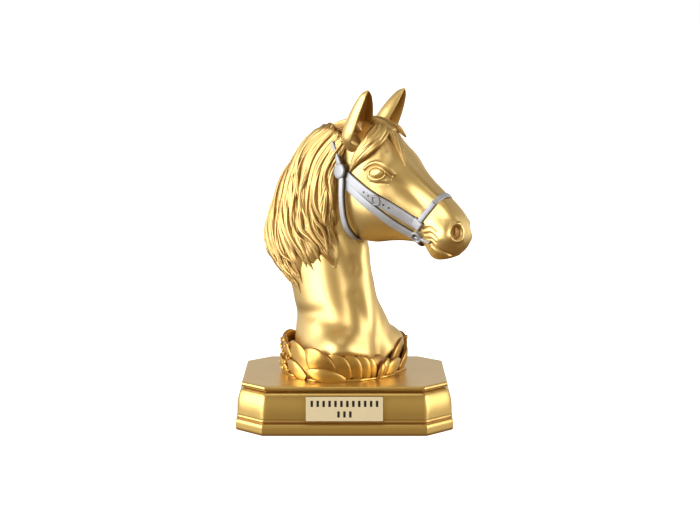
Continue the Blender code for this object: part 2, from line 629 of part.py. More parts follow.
def mesh_object(name, shells, material):
    points, faces, first = [], [], 0
    for shell_points, shell_faces in shells:
        points.append(shell_points)
        faces += [tuple(n + first for n in face) for face in shell_faces]
        first += len(shell_points)
    mesh = bpy.data.meshes.new(name)
    mesh.from_pydata(np.concatenate(points).tolist(), [], faces)
    mesh.materials.append(material)
    thing = bpy.data.objects.new(name, mesh)
    bpy.context.scene.collection.objects.link(thing)
    return thing


def plain_material(name, colour, metallic, roughness):
    material = bpy.data.materials.new(name)
    material.use_nodes = True
    shader = material.node_tree.nodes["Principled BSDF"]
    shader.inputs["Base Color"].default_value = (*colour, 1)
    shader.inputs["Metallic"].default_value = metallic
    shader.inputs["Roughness"].default_value = roughness
    material.diffuse_color = (*colour, 1)
    return material


def bust(material):
    """All the carving as overlapping closed forms, made one skin, cut flat underneath and thinned."""
    grids = [head_form(64, 56), neck_form(56, 56), mane_form(), poll_form(), collar_form()]
    grids += [lock_form(*lock) for lock in LOCKS]
    grids += list(forelock_forms()) + list(garland_forms()) + list(bridge_and_chin_forms())
    rings = []
    for side in (-1.0, 1.0):
        grids.append(ear_form(side))
        forms = list(halter_forms(side))
        grids += forms[:-1]
        rings.append(forms[-1])
    shells = [closed_shell(placed(grid)) for grid in grids]
    shells += [closed_shell(placed(grid), ring_closed=True) for grid in rings]
    thing = mesh_object("horse_bust", shells, material)
    skin = thing.modifiers.new("One skin", "REMESH")
    skin.mode = "VOXEL"
    skin.voxel_size = VOXEL
    smooth = thing.modifiers.new("Carved softness", "SMOOTH")
    smooth.factor = 0.5
    smooth.iterations = 1
    bake(thing)
    form = bmesh.new()
    form.from_mesh(thing.data)
    cut = bmesh.ops.bisect_plane(
        form, geom=form.verts[:] + form.edges[:] + form.faces[:], plane_co=(0, 0, PLINTH_HEIGHT + SEAM),
        plane_no=(0, 0, -1), clear_outer=True,
    )
    rim = [item for item in cut["geom_cut"] if isinstance(item, bmesh.types.BMEdge)]
    bmesh.ops.contextual_create(form, geom=rim)
    bmesh.ops.triangulate(form, faces=form.faces[:])
    faces = len(form.faces)
    form.to_mesh(thing.data)
    form.free()
    thinned = thing.modifiers.new("Facets", "DECIMATE")
    thinned.ratio = BUST_FACETS / faces
    bake(thing)
    return thing


def bake(thing):
    """The object's modifiers become its mesh."""
    bpy.context.view_layer.update()
    seen = thing.evaluated_get(bpy.context.evaluated_depsgraph_get())
    made = bpy.data.meshes.new_from_object(seen)
    thing.modifiers.clear()
    thing.data = made


def cut_rectangle(width, depth, cut, inset, radius, steps=3):
    """Outline of a rectangle with cut corners, moved in by inset, each of its eight corners rounded."""
    w, d = width / 2 - inset, depth / 2 - inset
    c = cut - inset * (2 - math.sqrt(2))
    quarter = [(w, d - c), (w - c, d)]
    corners = quarter + [(-x, y) for x, y in quarter[::-1]] + [(-x, -y) for x, y in quarter]
    corners += [(x, -y) for x, y in quarter[::-1]]
    outline = []
    for k, corner in enumerate(corners):
        here = np.array(corner)
        back, ahead = unit(np.array(corners[k - 1]) - here), unit(np.array(corners[(k + 1) % 8]) - here)
        half = math.acos(float(np.clip(back @ ahead, -1, 1))) / 2
        start, end = here + back * radius / math.tan(half), here + ahead * radius / math.tan(half)
        for t in np.linspace(0, 1, steps):
            outline.append((1 - t) ** 2 * start + 2 * t * (1 - t) * here + t**2 * end)
    return np.array(outline)


def plinth_profile():
    """Inset and height of each moulding, from the underside up."""
    top, slab = PLINTH_HEIGHT, PLINTH_HEIGHT - SLAB_THICKNESS
    foot, neck = FOOT_HEIGHT, PLINTH_HEIGHT - SLAB_THICKNESS - NECK_HEIGHT
    belly = foot + 0.0034
    rise = neck - belly
    profile = [(0.0011, 0.0), (0.0003, 0.0004), (0.0, 0.0014), (0.0, 0.75 * foot), (0.0003, foot - 0.0003)]
    profile += [(0.0012, foot + 0.0003), (0.0012, foot + 0.0012), (BELLY_INSET, foot + 0.0016)]
    profile += [(BELLY_INSET, foot + 0.0026), (BELLY_INSET + 0.0002, belly)]
    for share, reach in ((0.35, 0.02), (0.6, 0.14), (0.78, 0.34), (0.92, 0.66), (1.0, 1.0)):
        profile.append((BELLY_INSET + 0.0002 + reach * (NECK_INSET - BELLY_INSET), belly + share * rise))
    profile += [(NECK_INSET, slab - 0.0001), (SLAB_INSET + 0.0006, slab), (SLAB_INSET, slab + 0.0007)]
    profile += [(SLAB_INSET, top - 0.0009), (SLAB_INSET + 0.0005, top - 0.0002), (SLAB_INSET + 0.0013, top)]
    return profile


def plinth(material):
    rings = []
    for inset, z in plinth_profile():
        outline = cut_rectangle(PLINTH_WIDTH, PLINTH_DEPTH, CORNER_CUT, inset, MITRE_ROUNDING)
        rings.append(np.column_stack([outline, np.full(len(outline), z)]))
    return mesh_object("plinth", [closed_shell(np.stack(rings))], material)


def box(low, high):
    (x0, y0, z0), (x1, y1, z1) = low, high
    points = np.array([(x, y, z) for z in (z0, z1) for y in (y0, y1) for x in (x0, x1)])
    faces = [(0, 2, 3, 1), (4, 5, 7, 6), (0, 1, 5, 4), (2, 6, 7, 3), (0, 4, 6, 2), (1, 3, 7, 5)]
    return points, faces


def name_plate(material):
    """A thin plate in front of the belly, with rows of shallow upright strokes cut in its face."""
    back = -PLINTH_DEPTH / 2 + BELLY_INSET - SEAM
    face = back - PLATE_THICKNESS
    low, high = PLATE_CENTRE - PLATE_HEIGHT / 2, PLATE_CENTRE + PLATE_HEIGHT / 2
    plate = mesh_object(
        "name_plate", [box((-PLATE_WIDTH / 2, face, low), (PLATE_WIDTH / 2, back, high))], material
    )
    strokes = []
    for row, count in enumerate(ROW_STROKES):
        middle = PLATE_CENTRE + (0.5 - row) * (STROKE_HEIGHT + ROW_GAP)
        for k in range(count):
            x = (k - (count - 1) / 2) * STROKE_PITCH
            strokes.append(box(
                (x - STROKE_WIDTH / 2, face - 0.001, middle - STROKE_HEIGHT / 2),
                (x + STROKE_WIDTH / 2, face + STROKE_DEPTH, middle + STROKE_HEIGHT / 2),
            ))
    cutter = mesh_object("strokes", strokes, material)
    cutter.hide_render = True
    cutter.display_type = "WIRE"
    cut = plate.modifiers.new("Strokes", "BOOLEAN")
    cut.operation = "DIFFERENCE"
    cut.solver = "EXACT"
    cut.object = cutter
    return plate


for old in list(bpy.data.objects):
    bpy.data.objects.remove(old)
gilt = plain_material("gilt", (0.72, 0.46, 0.14), 0.9, 0.35)
pale = plain_material("pale_gold", (0.86, 0.72, 0.42), 0.6, 0.4)
bust(gilt)
plinth(gilt)
name_plate(pale)
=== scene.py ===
"""Horse head trophy: a bust in gold paint with a silver halter, on a moulded plinth with a name plate.

Metres, +Z up. The bust is carved in its own drawing, in millimetres: x forward in the horse's own
middle plane, y to the horse's left, z up from the plinth's top.
"""

import math

import bpy
import numpy as np
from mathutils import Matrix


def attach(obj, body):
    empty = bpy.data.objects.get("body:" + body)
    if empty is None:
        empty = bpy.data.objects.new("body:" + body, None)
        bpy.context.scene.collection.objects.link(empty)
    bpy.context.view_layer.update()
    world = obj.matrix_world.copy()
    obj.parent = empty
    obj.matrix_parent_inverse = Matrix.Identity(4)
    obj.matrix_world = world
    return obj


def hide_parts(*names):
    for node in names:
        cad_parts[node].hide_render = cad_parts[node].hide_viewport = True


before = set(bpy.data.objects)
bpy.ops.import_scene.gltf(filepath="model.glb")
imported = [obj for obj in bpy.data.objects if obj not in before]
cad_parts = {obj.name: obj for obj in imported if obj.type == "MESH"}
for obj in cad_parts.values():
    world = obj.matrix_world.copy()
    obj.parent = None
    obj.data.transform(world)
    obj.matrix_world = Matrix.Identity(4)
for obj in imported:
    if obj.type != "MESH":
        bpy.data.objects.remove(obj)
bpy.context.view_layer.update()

# Plinth
# A solid resin casting with cut corners: a rolled foot, a small fillet, a swelling belly, a groove
# and a thin slab with a rounded edge, sprayed with satin gold paint, with painted shade in the groove,
# the fillet and under the foot's edge.

PLINTH_WIDTH, PLINTH_DEPTH, PLINTH_HEIGHT = 0.1272, 0.0980, 0.0283
CORNER_CUT = 0.0160
SLAB_THICKNESS, SLAB_INSET = 0.0027, 0.0034
NECK_INSET, NECK_HEIGHT = 0.0049, 0.0009
BELLY_INSET, FOOT_HEIGHT = 0.0006, 0.0068
CRISP_MITRE, SOFT_MITRE = 0.0011, 0.0062
# The second gold is painted shade for the moulding's recesses.
PLINTH_GOLD, PLINTH_SHADED_GOLD = (0.74, 0.50, 0.13), (0.34, 0.15, 0.018)


def node_maker(tree):
    """A way to add a node to a tree, with the outputs that feed it and its settings or values."""

    def node(kind, fed=(), **settings):
        made = tree.nodes.new(kind)
        for key, value in settings.items():
            if key in made.inputs:
                made.inputs[key].default_value = value
            else:
                setattr(made, key, value)
        for socket, source in fed:
            tree.links.new(source, made.inputs[socket])
        return made

    return node


def mottled_paint(name, colours, roughness, metallic, scale, detail=3.0, lift=0.3, deep=0.00004,
                  painted_shades=False):
    """A paint whose colour and roughness go from their first value to their second with cloud noise,
    which also lifts it. With painted shades they go by the piece's painted shade attribute, which
    darkens the recesses, and a little of the noise, and a fine orange-peel noise lifts it."""
    paint = bpy.data.materials.new(name)
    paint.use_nodes = True
    node = node_maker(paint.node_tree)
    place = node("ShaderNodeTexCoord").outputs["Object"]
    amount = node("ShaderNodeTexNoise", [("Vector", place)], Scale=scale, Detail=detail).outputs["Fac"]
    grain = amount
    if painted_shades:
        # The attribute holds painted shade: darkness put in grooves and recesses where light falls less.
        painted_shade = node("ShaderNodeAttribute", attribute_name="painted_shade").outputs["Fac"]
        wash = node("ShaderNodeMapRange", [("Value", amount)], **{"To Min": -0.10, "To Max": 0.14})
        amount = node("ShaderNodeMath", [(0, painted_shade), (1, wash.outputs["Result"])],
                      operation="ADD", use_clamp=True).outputs[0]
        grain = node("ShaderNodeTexNoise", [("Vector", place)], Scale=1400.0, Detail=2.0).outputs["Fac"]
    tint = node("ShaderNodeMixRGB", [("Fac", amount)], Color1=(*colours[0], 1), Color2=(*colours[1], 1))
    dull = node("ShaderNodeMapRange", [("Value", amount)],
                **{"To Min": roughness[0], "To Max": roughness[1]})
    bump = node("ShaderNodeBump", [("Height", grain)], Strength=lift, Distance=deep)
    shader = paint.node_tree.nodes["Principled BSDF"]
    for socket, source in (("Base Color", tint.outputs["Color"]), ("Roughness", dull.outputs["Result"]),
                           ("Normal", bump.outputs["Normal"])):
        paint.node_tree.links.new(source, shader.inputs[socket])
    shader.inputs["Metallic"].default_value = metallic
    return paint


def gold_paint(name, gold, shaded_gold, roughness):
    """Satin metallic paint under a thin lacquer, darker and duller where painted shade is put."""
    paint = mottled_paint(name, (gold, shaded_gold), (roughness, roughness + 0.16), 0.85, 90.0,
                          lift=0.35, deep=0.00006, painted_shades=True)
    for socket, value in (("Coat Weight", 0.5), ("Coat Roughness", 0.38), ("Coat IOR", 1.7)):
        paint.node_tree.nodes["Principled BSDF"].inputs[socket].default_value = value
    return paint


def unit(v):
    """Each vector divided by its length."""
    return v / np.maximum(np.linalg.norm(v, axis=-1, keepdims=True), 1e-12)


def shell_faces(rows, columns, joined):
    """Quads of a grid whose columns close, and triangles from each end's ring to its middle point."""
    last = rows if joined else rows - 1
    i, j = np.meshgrid(np.arange(last), np.arange(columns), indexing="ij")
    di, dj = (i + 1) % rows, (j + 1) % columns
    corners = [i * columns + j, i * columns + dj, di * columns + dj, di * columns + j]
    quads = np.stack(corners, -1).reshape(-1, 4)
    if joined:
        return quads, np.zeros((0, 3), int)
    j = np.arange(columns)
    k, end = (j + 1) % columns, (rows - 1) * columns
    low = np.stack([np.full(columns, rows * columns), k, j], -1)
    high = np.stack([np.full(columns, rows * columns + 1), end + j, end + k], -1)
    return quads, np.concatenate([low, high])


def cast(name, shells, paint, slot, *replaced, smooth=True):
    """One object from closed shells, each a grid in metres, its painted shade from 0 to 1, and whether
    its last row joins its first. A shell whose signed volume is below 0 is turned to face out."""
    points, painted_shades, quads, triangles, first = [], [], [], [], 0
    for grid, painted_shade, joined in shells:
        rows, columns = grid.shape[:2]
        dark = np.broadcast_to(painted_shade, (rows, columns)).reshape(-1)
        p = grid.reshape(-1, 3)
        if not joined:
            p = np.concatenate([p, grid[:1].mean(1), grid[-1:].mean(1)])
            dark = np.concatenate([dark, [dark[:columns].mean(), dark[-columns:].mean()]])
        q, t = shell_faces(rows, columns, joined)
        corners = p[np.concatenate([q[:, [0, 1, 2]], q[:, [0, 2, 3]], t])] - p.mean(0)
        if np.sum(corners[:, 0] * np.cross(corners[:, 1], corners[:, 2])) < 0:
            q, t = q[:, ::-1], t[:, ::-1]
        points.append(p)
        painted_shades.append(dark)
        quads.append(q + first)
        triangles.append(t + first)
        first += len(p)
    mesh = bpy.data.meshes.new(name)
    faces = np.concatenate(quads).tolist() + np.concatenate(triangles).tolist()
    mesh.from_pydata(np.concatenate(points).tolist(), [], faces)
    mesh.polygons.foreach_set("use_smooth", np.full(len(faces), smooth))
    # Painted shade is stored per point, for the paint to darken with.
    darkness = mesh.attributes.new("painted_shade", "FLOAT", "POINT")
    darkness.data.foreach_set("value", np.concatenate(painted_shades).astype(np.float32))
    mesh.validate()
    mesh.materials.append(paint)
    piece = bpy.data.objects.new(name, mesh)
    bpy.context.scene.collection.objects.link(piece)
    if replaced:
        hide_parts(*replaced)
    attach(piece, "root")
    return piece


def cut_corner_outline(inset, rounding, steps):
    """A rectangle with cut corners, moved in by inset, with a parabola of the given reach round each
    of its eight corners and straight runs between."""
    w, d = PLINTH_WIDTH / 2 - inset, PLINTH_DEPTH / 2 - inset
    c = CORNER_CUT - inset * (2 - math.sqrt(2))
    quarter = [(w, d - c), (w - c, d)]
    corners = quarter + [(-x, y) for x, y in quarter[::-1]] + [(-x, -y) for x, y in quarter]
    corners = np.array(corners + [(x, -y) for x, y in quarter[::-1]])
    outline = []
    for k, here in enumerate(corners):
        follow = corners[(k + 1) % 8]
        back, ahead = unit(corners[k - 1] - here), unit(follow - here)
        reach = rounding / math.tan(math.acos(float(np.clip(back @ ahead, -1, 1))) / 2)
        start, end, leave = here + back * reach, here + ahead * reach, follow - ahead * reach
        t = np.linspace(0, 1, steps)[:, None]
        outline.append((1 - t) ** 2 * start + 2 * t * (1 - t) * here + t**2 * end)
        outline.append(end + (leave - end) * np.linspace(0, 1, 8)[1:-1, None])
    return np.concatenate(outline)


def plinth_profile():
    """Inset, height, softness of the mitres and painted shade, up the moulding; round edges are arcs.
    Painted shade goes on the foot's lower edge, the fillet and the groove under the slab.
    """
    top, foot = PLINTH_HEIGHT, FOOT_HEIGHT
    slab = top - SLAB_THICKNESS
    neck, belly = slab - NECK_HEIGHT, foot + 0.0026
    arc = np.linspace(0, math.pi / 2, 6)[1:]
    rows = [(0.0022, 0.0, 0, 0.5), (0.0012, 0.0, 0, 0.3)]
    rows += [(0.0012 - 0.0012 * math.sin(a), 0.0016 - 0.0016 * math.cos(a), 0, 0.1) for a in arc]
    rows += [(0.0, z, 0, 0.0) for z in np.linspace(0.0024, 0.7 * foot, 4)]
    rows += [(0.0010 - 0.0010 * math.cos(a), (0.7 + 0.3 * math.sin(a)) * foot, 0, 0.0) for a in arc]
    rows += [(0.0015, foot + 0.0001, 0.1, 0.9), (0.0015, foot + 0.0007, 0.1, 1.0)]
    rows += [(0.0011, foot + 0.0009, 0.2, 0.6), (BELLY_INSET + 0.0001, foot + 0.0012, 0.2, 0.0)]
    rows += [(BELLY_INSET - 0.0001, foot + 0.0017, 0.3, 0.0), (BELLY_INSET + 0.0001, foot + 0.0021, 0.4, 0.1)]
    rows += [(BELLY_INSET + 0.0004, foot + 0.0024, 0.5, 0.5)]
    for share in np.linspace(0.0, 1.0, 24):
        bend = 1 - math.sqrt(max(0.0, 1 - (0.97 * max(0.0, share - 0.12) / 0.88) ** 2.6))
        inset = BELLY_INSET + 0.0003 + bend * (NECK_INSET - BELLY_INSET) * 1.1
        soft = 0.6 + 0.4 * math.sin(math.pi * min(1.0, share * 1.2))
        rows.append((inset, belly + share * (neck - belly), soft, 0.0))
    rows += [(NECK_INSET + 0.0006, neck + 0.0002, 0.3, 1.0), (NECK_INSET + 0.0008, slab - 0.0001, 0.2, 1.0)]
    rows += [(SLAB_INSET + 0.0009, slab, 0, 0.8)]
    for a in np.linspace(-math.pi / 2, math.pi / 2, 9)[1:]:
        inset = SLAB_INSET + 0.0009 - 0.0009 * math.cos(a)
        rows.append((inset, top - (0.5 - 0.5 * math.sin(a)) * SLAB_THICKNESS, 0, 0.0))
    return rows + [(SLAB_INSET + 0.0022, top, 0, 0.0), (SLAB_INSET + 0.012, top, 0, 0.0)]


plinth_paint = gold_paint("plinth_gold_paint", PLINTH_GOLD, PLINTH_SHADED_GOLD, 0.30)
plinth_rings, plinth_painted_shade = [], []
for inset, height, soft, painted_shade in plinth_profile():
    ring = cut_corner_outline(inset, CRISP_MITRE + soft * (SOFT_MITRE - CRISP_MITRE), 7)
    plinth_rings.append(np.column_stack([ring, np.full(len(ring), height)]))
    plinth_painted_shade.append(np.full(len(ring), painted_shade))
plinth_shell = (np.stack(plinth_rings), np.stack(plinth_painted_shade), False)
cast("plinth_mouldings", [plinth_shell], plinth_paint, "gilt_plinth", "plinth")

# Name plate
# A thin plate of pale gold anodised aluminium, glued to the belly's front. It has a dark line round
# its edge, and two rows of upright strokes filled with black.

PLATE_WIDTH, PLATE_HEIGHT, PLATE_THICKNESS, PLATE_CENTRE = 0.0450, 0.0150, 0.0008, 0.0162
PLATE_FACE = -PLINTH_DEPTH / 2 + BELLY_INSET - 0.0003 - PLATE_THICKNESS
PLATE_BACK = PLATE_FACE + PLATE_THICKNESS
PLATE_BORDER = 0.00035
STROKE_WIDTH, STROKE_HEIGHT, STROKE_PITCH, ROW_GAP = 0.0016, 0.0038, 0.0034, 0.0024
ROW_STROKES = (12, 3)


def plain_finish(name, colour, metallic, roughness, scale, spread):
    """A finish whose colour and gloss go a little up and down with noise of the given scale."""
    colours = [[min(1, c * (1 + way * spread)) for c in colour] for way in (-1, 1)]
    return mottled_paint(name, colours, (roughness - 0.05, roughness + 0.05), metallic, scale)


def plate_block(width, height, middle, face, back, rounding):
    """An upright block with round corners: rings of one outline from its back to its face, the last
    one drawn in for a small bevel. A corner is a quarter circle round its own centre."""
    turn = np.linspace(0, 2 * math.pi, 32, endpoint=False) + math.pi / 32
    x = np.sign(np.cos(turn)) * (width / 2 - rounding)
    z = np.sign(np.sin(turn)) * (height / 2 - rounding)
    rings = []
    for y, inset in ((back, 0.0), (face + 0.00012, 0.0), (face, 0.00012)):
        reach = rounding - inset
        ring = [middle[0] + x + reach * np.cos(turn), 0 * x + y, middle[1] + z + reach * np.sin(turn)]
        rings.append(np.stack(ring, -1))
    return np.stack(rings), 0.0, False


plate_finish = plain_finish("pale_gold_plate", (0.97, 0.85, 0.56), 0.1, 0.42, 160.0, 0.03)
border_finish = plain_finish("plate_border", (0.20, 0.13, 0.05), 0.3, 0.5, 160.0, 0.1)
stroke_fill = plain_finish("black_stroke_fill", (0.012, 0.012, 0.012), 0.0, 0.45, 300.0, 0.2)
plate_middle = (0.0, PLATE_CENTRE)
border = plate_block(PLATE_WIDTH, PLATE_HEIGHT, plate_middle, PLATE_FACE + 0.0001, PLATE_BACK, 0.0004)
cast("name_plate_border", [border], border_finish, "pale_plate", "name_plate", smooth=False)
face = plate_block(PLATE_WIDTH - 2 * PLATE_BORDER, PLATE_HEIGHT - 2 * PLATE_BORDER, plate_middle,
                   PLATE_FACE, PLATE_BACK - 0.0001, 0.0003)
cast("name_plate_face", [face], plate_finish, "pale_plate", smooth=False)
strokes = []
for row, count in enumerate(ROW_STROKES):
    height = PLATE_CENTRE + (0.5 - row) * (STROKE_HEIGHT + ROW_GAP)
    for k in range(count):
        middle = ((k - (count - 1) / 2) * STROKE_PITCH, height)
        strokes.append(plate_block(STROKE_WIDTH, STROKE_HEIGHT, middle, PLATE_FACE - 0.00004,
                                   PLATE_FACE + 0.0002, 0.0003))
cast("name_plate_strokes", strokes, stroke_fill, "pale_plate", smooth=False)

# Neck and shoulders
# The smooth neck of the casting, from the flat seat on the plinth to the poll. Its grooves beside
# the windpipe and its shoulder muscles are carved in the master and soften in the mould.

BUST_HEIGHT = 0.1692
DRAWN_HEIGHT = 169.2
BUST_PLACE = (0.0, 0.0020)
CHEST_TURN, HEAD_TURN = math.radians(-44), math.radians(-36)
TWIST_FROM, TWIST_TO = 10.0, 85.0
# The second gold is painted shade for the bust's grooves and recesses.
BUST_GOLD, BUST_SHADED_GOLD = (0.79, 0.57, 0.20), (0.36, 0.17, 0.02)
# Share of the way up, then the spine's x and z, the reach forward and back, and the half-width
NECK = (
    (0.00, 0.5, -3, 28, 34, 33), (0.12, 0.5, 11, 30, 36.2, 30.5), (0.25, -2, 25, 30, 34.5, 25),
    (0.38, -6, 39, 29, 31.5, 21), (0.50, -10.5, 53, 29.7, 28.6, 19.5), (0.63, -15, 69, 31.5, 29, 18.5),
    (0.76, -16.5, 88, 29, 30, 17), (0.88, -11, 109, 27, 28, 15), (0.96, -2, 127, 21, 23, 13.5),
    (1.00, 8, 138.5, 14, 15, 12),
)
# The seat's reach by degrees from the breast, which the garland lies on
BED = ((-180, 35), (-148, 35.5), (-125, 34), (-100, 33), (-72, 35), (-52, 32.5), (-30, 30.5), (0, 30),
       (28, 30.5), (48, 34), (70, 36.5), (110, 36), (150, 35), (180, 35))
# Each groove: its width and depth, then its line as share of the way up and angle from the throat
NECK_GROOVES = (
    (4.0, 1.0, ((0.72, -0.90), (0.60, -0.68), (0.52, -0.50))),
    (3.0, 0.5, ((0.72, -0.43), (0.62, -0.41), (0.53, -0.44))),
    (4.5, 0.9, ((0.60, -0.97), (0.46, -0.92), (0.36, -0.87), (0.27, -0.86))),
    (5.5, 1.5, ((0.40, -2.46), (0.35, -1.45), (0.24, -0.86), (0.18, -0.50))),
    (4.0, 1.0, ((0.40, -0.56), (0.16, -0.18), (0.10, -0.08))),
    (5.0, 0.7, ((0.46, 0.3), (0.34, 0.16), (0.20, -0.03))),
)
NECK_MM_UP, NECK_MM_ROUND = 140.0, 25.0
TUCK_DEPTH = 1.5


def ease(x, low, high):
    """0 below low, 1 above high, and 3t^2 - 2t^3 between."""
    t = np.clip((x - low) / (high - low), 0, 1)
    return t * t * (3 - 2 * t)


def flow(keys, at):
    """A smooth line through (place, value, ...) keys: a cubic between each two, with slopes from the
    neighbours."""
    table = np.asarray(keys, float)
    places, values = table[:, 0], table[:, 1:]
    slopes = np.gradient(values, places, axis=0)
    at = np.clip(np.asarray(at, float), places[0], places[-1])
    i = np.clip(np.searchsorted(places, at, side="right") - 1, 0, len(places) - 2)
    step = places[i + 1] - places[i]
    t = ((at - places[i]) / step)[..., None]
    step = step[..., None]
    made = (
        (2 * t**3 - 3 * t**2 + 1) * values[i]
        + (t**3 - 2 * t**2 + t) * step * slopes[i]
        + (3 * t**2 - 2 * t**3) * values[i + 1]
        + (t**3 - t**2) * step * slopes[i + 1]
    )
    return made[..., 0] if made.shape[-1] == 1 else made


def line_distance(x, y, line):
    """Distance from points to a line of straight pieces, in a plane."""
    best = np.full(np.shape(x), 1e9)
    for (x0, y0), (x1, y1) in zip(line[:-1], line[1:]):
        length = (x1 - x0) ** 2 + (y1 - y0) ** 2
        t = np.clip(((x - x0) * (x1 - x0) + (y - y0) * (y1 - y0)) / length, 0, 1)
        best = np.minimum(best, np.hypot(x - x0 - t * (x1 - x0), y - y0 - t * (y1 - y0)))
    return best


def outward(grid):
    """The direction out of a grid whose columns close: its way round crossed with its way along."""
    along = np.gradient(grid, axis=0)
    around = np.roll(grid, -1, 1) - np.roll(grid, 1, 1)
    return unit(np.cross(around, along))


def hollowness(grid, cells, depth):
    """How far each point lies under the mean of the points that many cells away on four sides, as a
    share of depth, from 0 to 1."""
    rows = np.arange(len(grid))
    low, high = np.clip(rows - cells, 0, rows[-1]), np.clip(rows + cells, 0, rows[-1])
    around = (np.roll(grid, cells, 1) + np.roll(grid, -cells, 1) + grid[low] + grid[high]) / 4
    normal = outward(grid)
    normal *= np.sign(np.sum(normal * (grid - grid.reshape(-1, 3).mean(0))))
    return np.clip(np.sum((around - grid) * normal, -1) / depth, 0, 1)


def placed(points):
    """The drawing in the world: the neck twists from the chest's turn to the head's, and nothing
    goes below the plinth's top."""
    points = np.asarray(points, float)
    turn = CHEST_TURN + (HEAD_TURN - CHEST_TURN) * ease(points[..., 2], TWIST_FROM, TWIST_TO)
    scale = BUST_HEIGHT / DRAWN_HEIGHT
    x = points[..., 0] * np.cos(turn) - points[..., 1] * np.sin(turn)
    y = points[..., 0] * np.sin(turn) + points[..., 1] * np.cos(turn)
    z = np.maximum(points[..., 2], 0.0)
    return np.stack([x * scale + BUST_PLACE[0], y * scale + BUST_PLACE[1], z * scale + PLINTH_HEIGHT], -1)


def cast_bust(name, forms, paint, *replaced, rings=(), dark=1.0):
    """One object of the bust from forms, each a grid of the drawing and its painted shade, scaled by
    dark; the rings' last rows join their first."""
    shells = [(placed(grid), dark * painted_shade, False) for grid, painted_shade in forms]
    shells += [(placed(grid), painted_shade, True) for grid, painted_shade in rings]
    cast(name, shells, paint, "gilt_bust", *replaced)


def neck_point(share, angle):
    """The neck's plain surface: an oval round the spine, square to it. Angle 0 is the throat, half a
    turn the crest, and below 0 the horse's right side."""
    x, z, ahead, behind, half = np.moveaxis(flow(NECK, share), -1, 0)
    near, far = flow(NECK, share + 0.01), flow(NECK, share - 0.01)
    rise = unit(near[..., :2] - far[..., :2])
    reach = np.where(np.cos(angle) > 0, ahead, behind) * np.cos(angle)
    side = half * np.sign(np.sin(angle)) * np.abs(np.sin(angle)) ** (1 + 0.25 * (np.cos(angle) < 0))
    return np.stack([x + reach * rise[..., 1], side, z - reach * rise[..., 0]], -1)


def shoulder_swelling(points):
    """Sums of rounded swellings and hollows: the shoulders, and the hollows between them."""
    x, y, z = np.moveaxis(points, -1, 0)
    side = np.abs(y)
    lift = 0 * x
    for (cx, cy, cz), (rx, ry, rz), height in (
        ((20, 24, 19), (13, 12, 12), 6.5),
        ((32, 0, 14), (16, 5.5, 22), -3.4),
        ((12, 18, 55), (11, 11, 26), -1.2),
    ):
        lift += height * np.exp(-(((x - cx) / rx) ** 2) - ((side - cy) / ry) ** 2 - ((z - cz) / rz) ** 2)
    return lift


def neck_grooves(share, angle):
    """Rounded grooves along the lines of the table, on both sides of the neck: depth times
    exp(-(distance / width)^2)."""
    folded = -np.abs(np.mod(angle + math.pi, 2 * math.pi) - math.pi)
    depth = 0 * share
    for width, deep, line in NECK_GROOVES:
        path = [(s * NECK_MM_UP, a * NECK_MM_ROUND) for s, a in line]
        here = angle if line[0][1] > 0 else folded
        away = line_distance(share * NECK_MM_UP, here * NECK_MM_ROUND, path)
        depth = depth + deep * np.exp(-((away / width) ** 2))
    return depth


def bed_reach(turn):
    """Reach of the garland's bed, which goes in at the breast."""
    return flow(BED, np.degrees(np.mod(turn + math.pi, 2 * math.pi) - math.pi))


def tucked(points):
    """The neck drawn in behind the garland: below its top the reach is held inside the bed's."""
    x, y, z = np.moveaxis(points, -1, 0)
    reach = np.hypot(x, y)
    limit = bed_reach(np.arctan2(y, x)) - TUCK_DEPTH + 9.0 * ease(z, 9, 24)
    held = limit - np.logaddexp(0, 2.0 * (limit - reach)) / 2.0
    return np.stack([x * held / reach, y * held / reach, z], -1)


def neck_grid(rows, columns):
    """The neck's grid with its swellings and grooves, and its painted shade in the grooves and recesses."""
    share = np.linspace(0, 1, rows)
    angle = np.linspace(-math.pi, math.pi, columns, endpoint=False)
    ss, aa = np.meshgrid(share, angle, indexing="ij")
    plain = neck_point(ss, aa)
    groove = neck_grooves(ss, aa)
    grid = tucked(plain + (shoulder_swelling(plain) - groove)[..., None] * outward(plain))
    # painted shade: some from the grooves' depth, most from how far each point lies below its neighbours
    return grid, np.clip(0.3 * groove / 1.5 + 0.7 * hollowness(grid, 3, 1.2), 0, 1)


bust_paint = gold_paint("bust_gold_paint", BUST_GOLD, BUST_SHADED_GOLD, 0.40)
cast_bust("neck", [neck_grid(220, 200)], bust_paint, "horse_bust")

# Head
# The head of the same casting, with its lids, nostrils, mouth and the bones under the skin carved
# in the master. Stations run along the face line, from behind the ears to the lips.

EYE_PLACE = (35.4, 121.9)
FACE_SLOPE = math.radians(-40)
DORSAL = (
    (-36, 12), (-28, 15), (-15, 15.6), (0, 14.2), (12, 13.2), (30, 13.1), (45, 13.3), (56, 11.8), (67, 10.4),
)
VENTRAL = (
    (-36, -8), (-28, -15), (-20, -24), (-12, -33), (-4, -40), (4, -43.8), (11, -43.8), (19, -38.6),
    (27, -29.8), (36.5, -21.2), (43, -17.4), (49, -16.0), (56, -16.2), (67, -14.5),
)
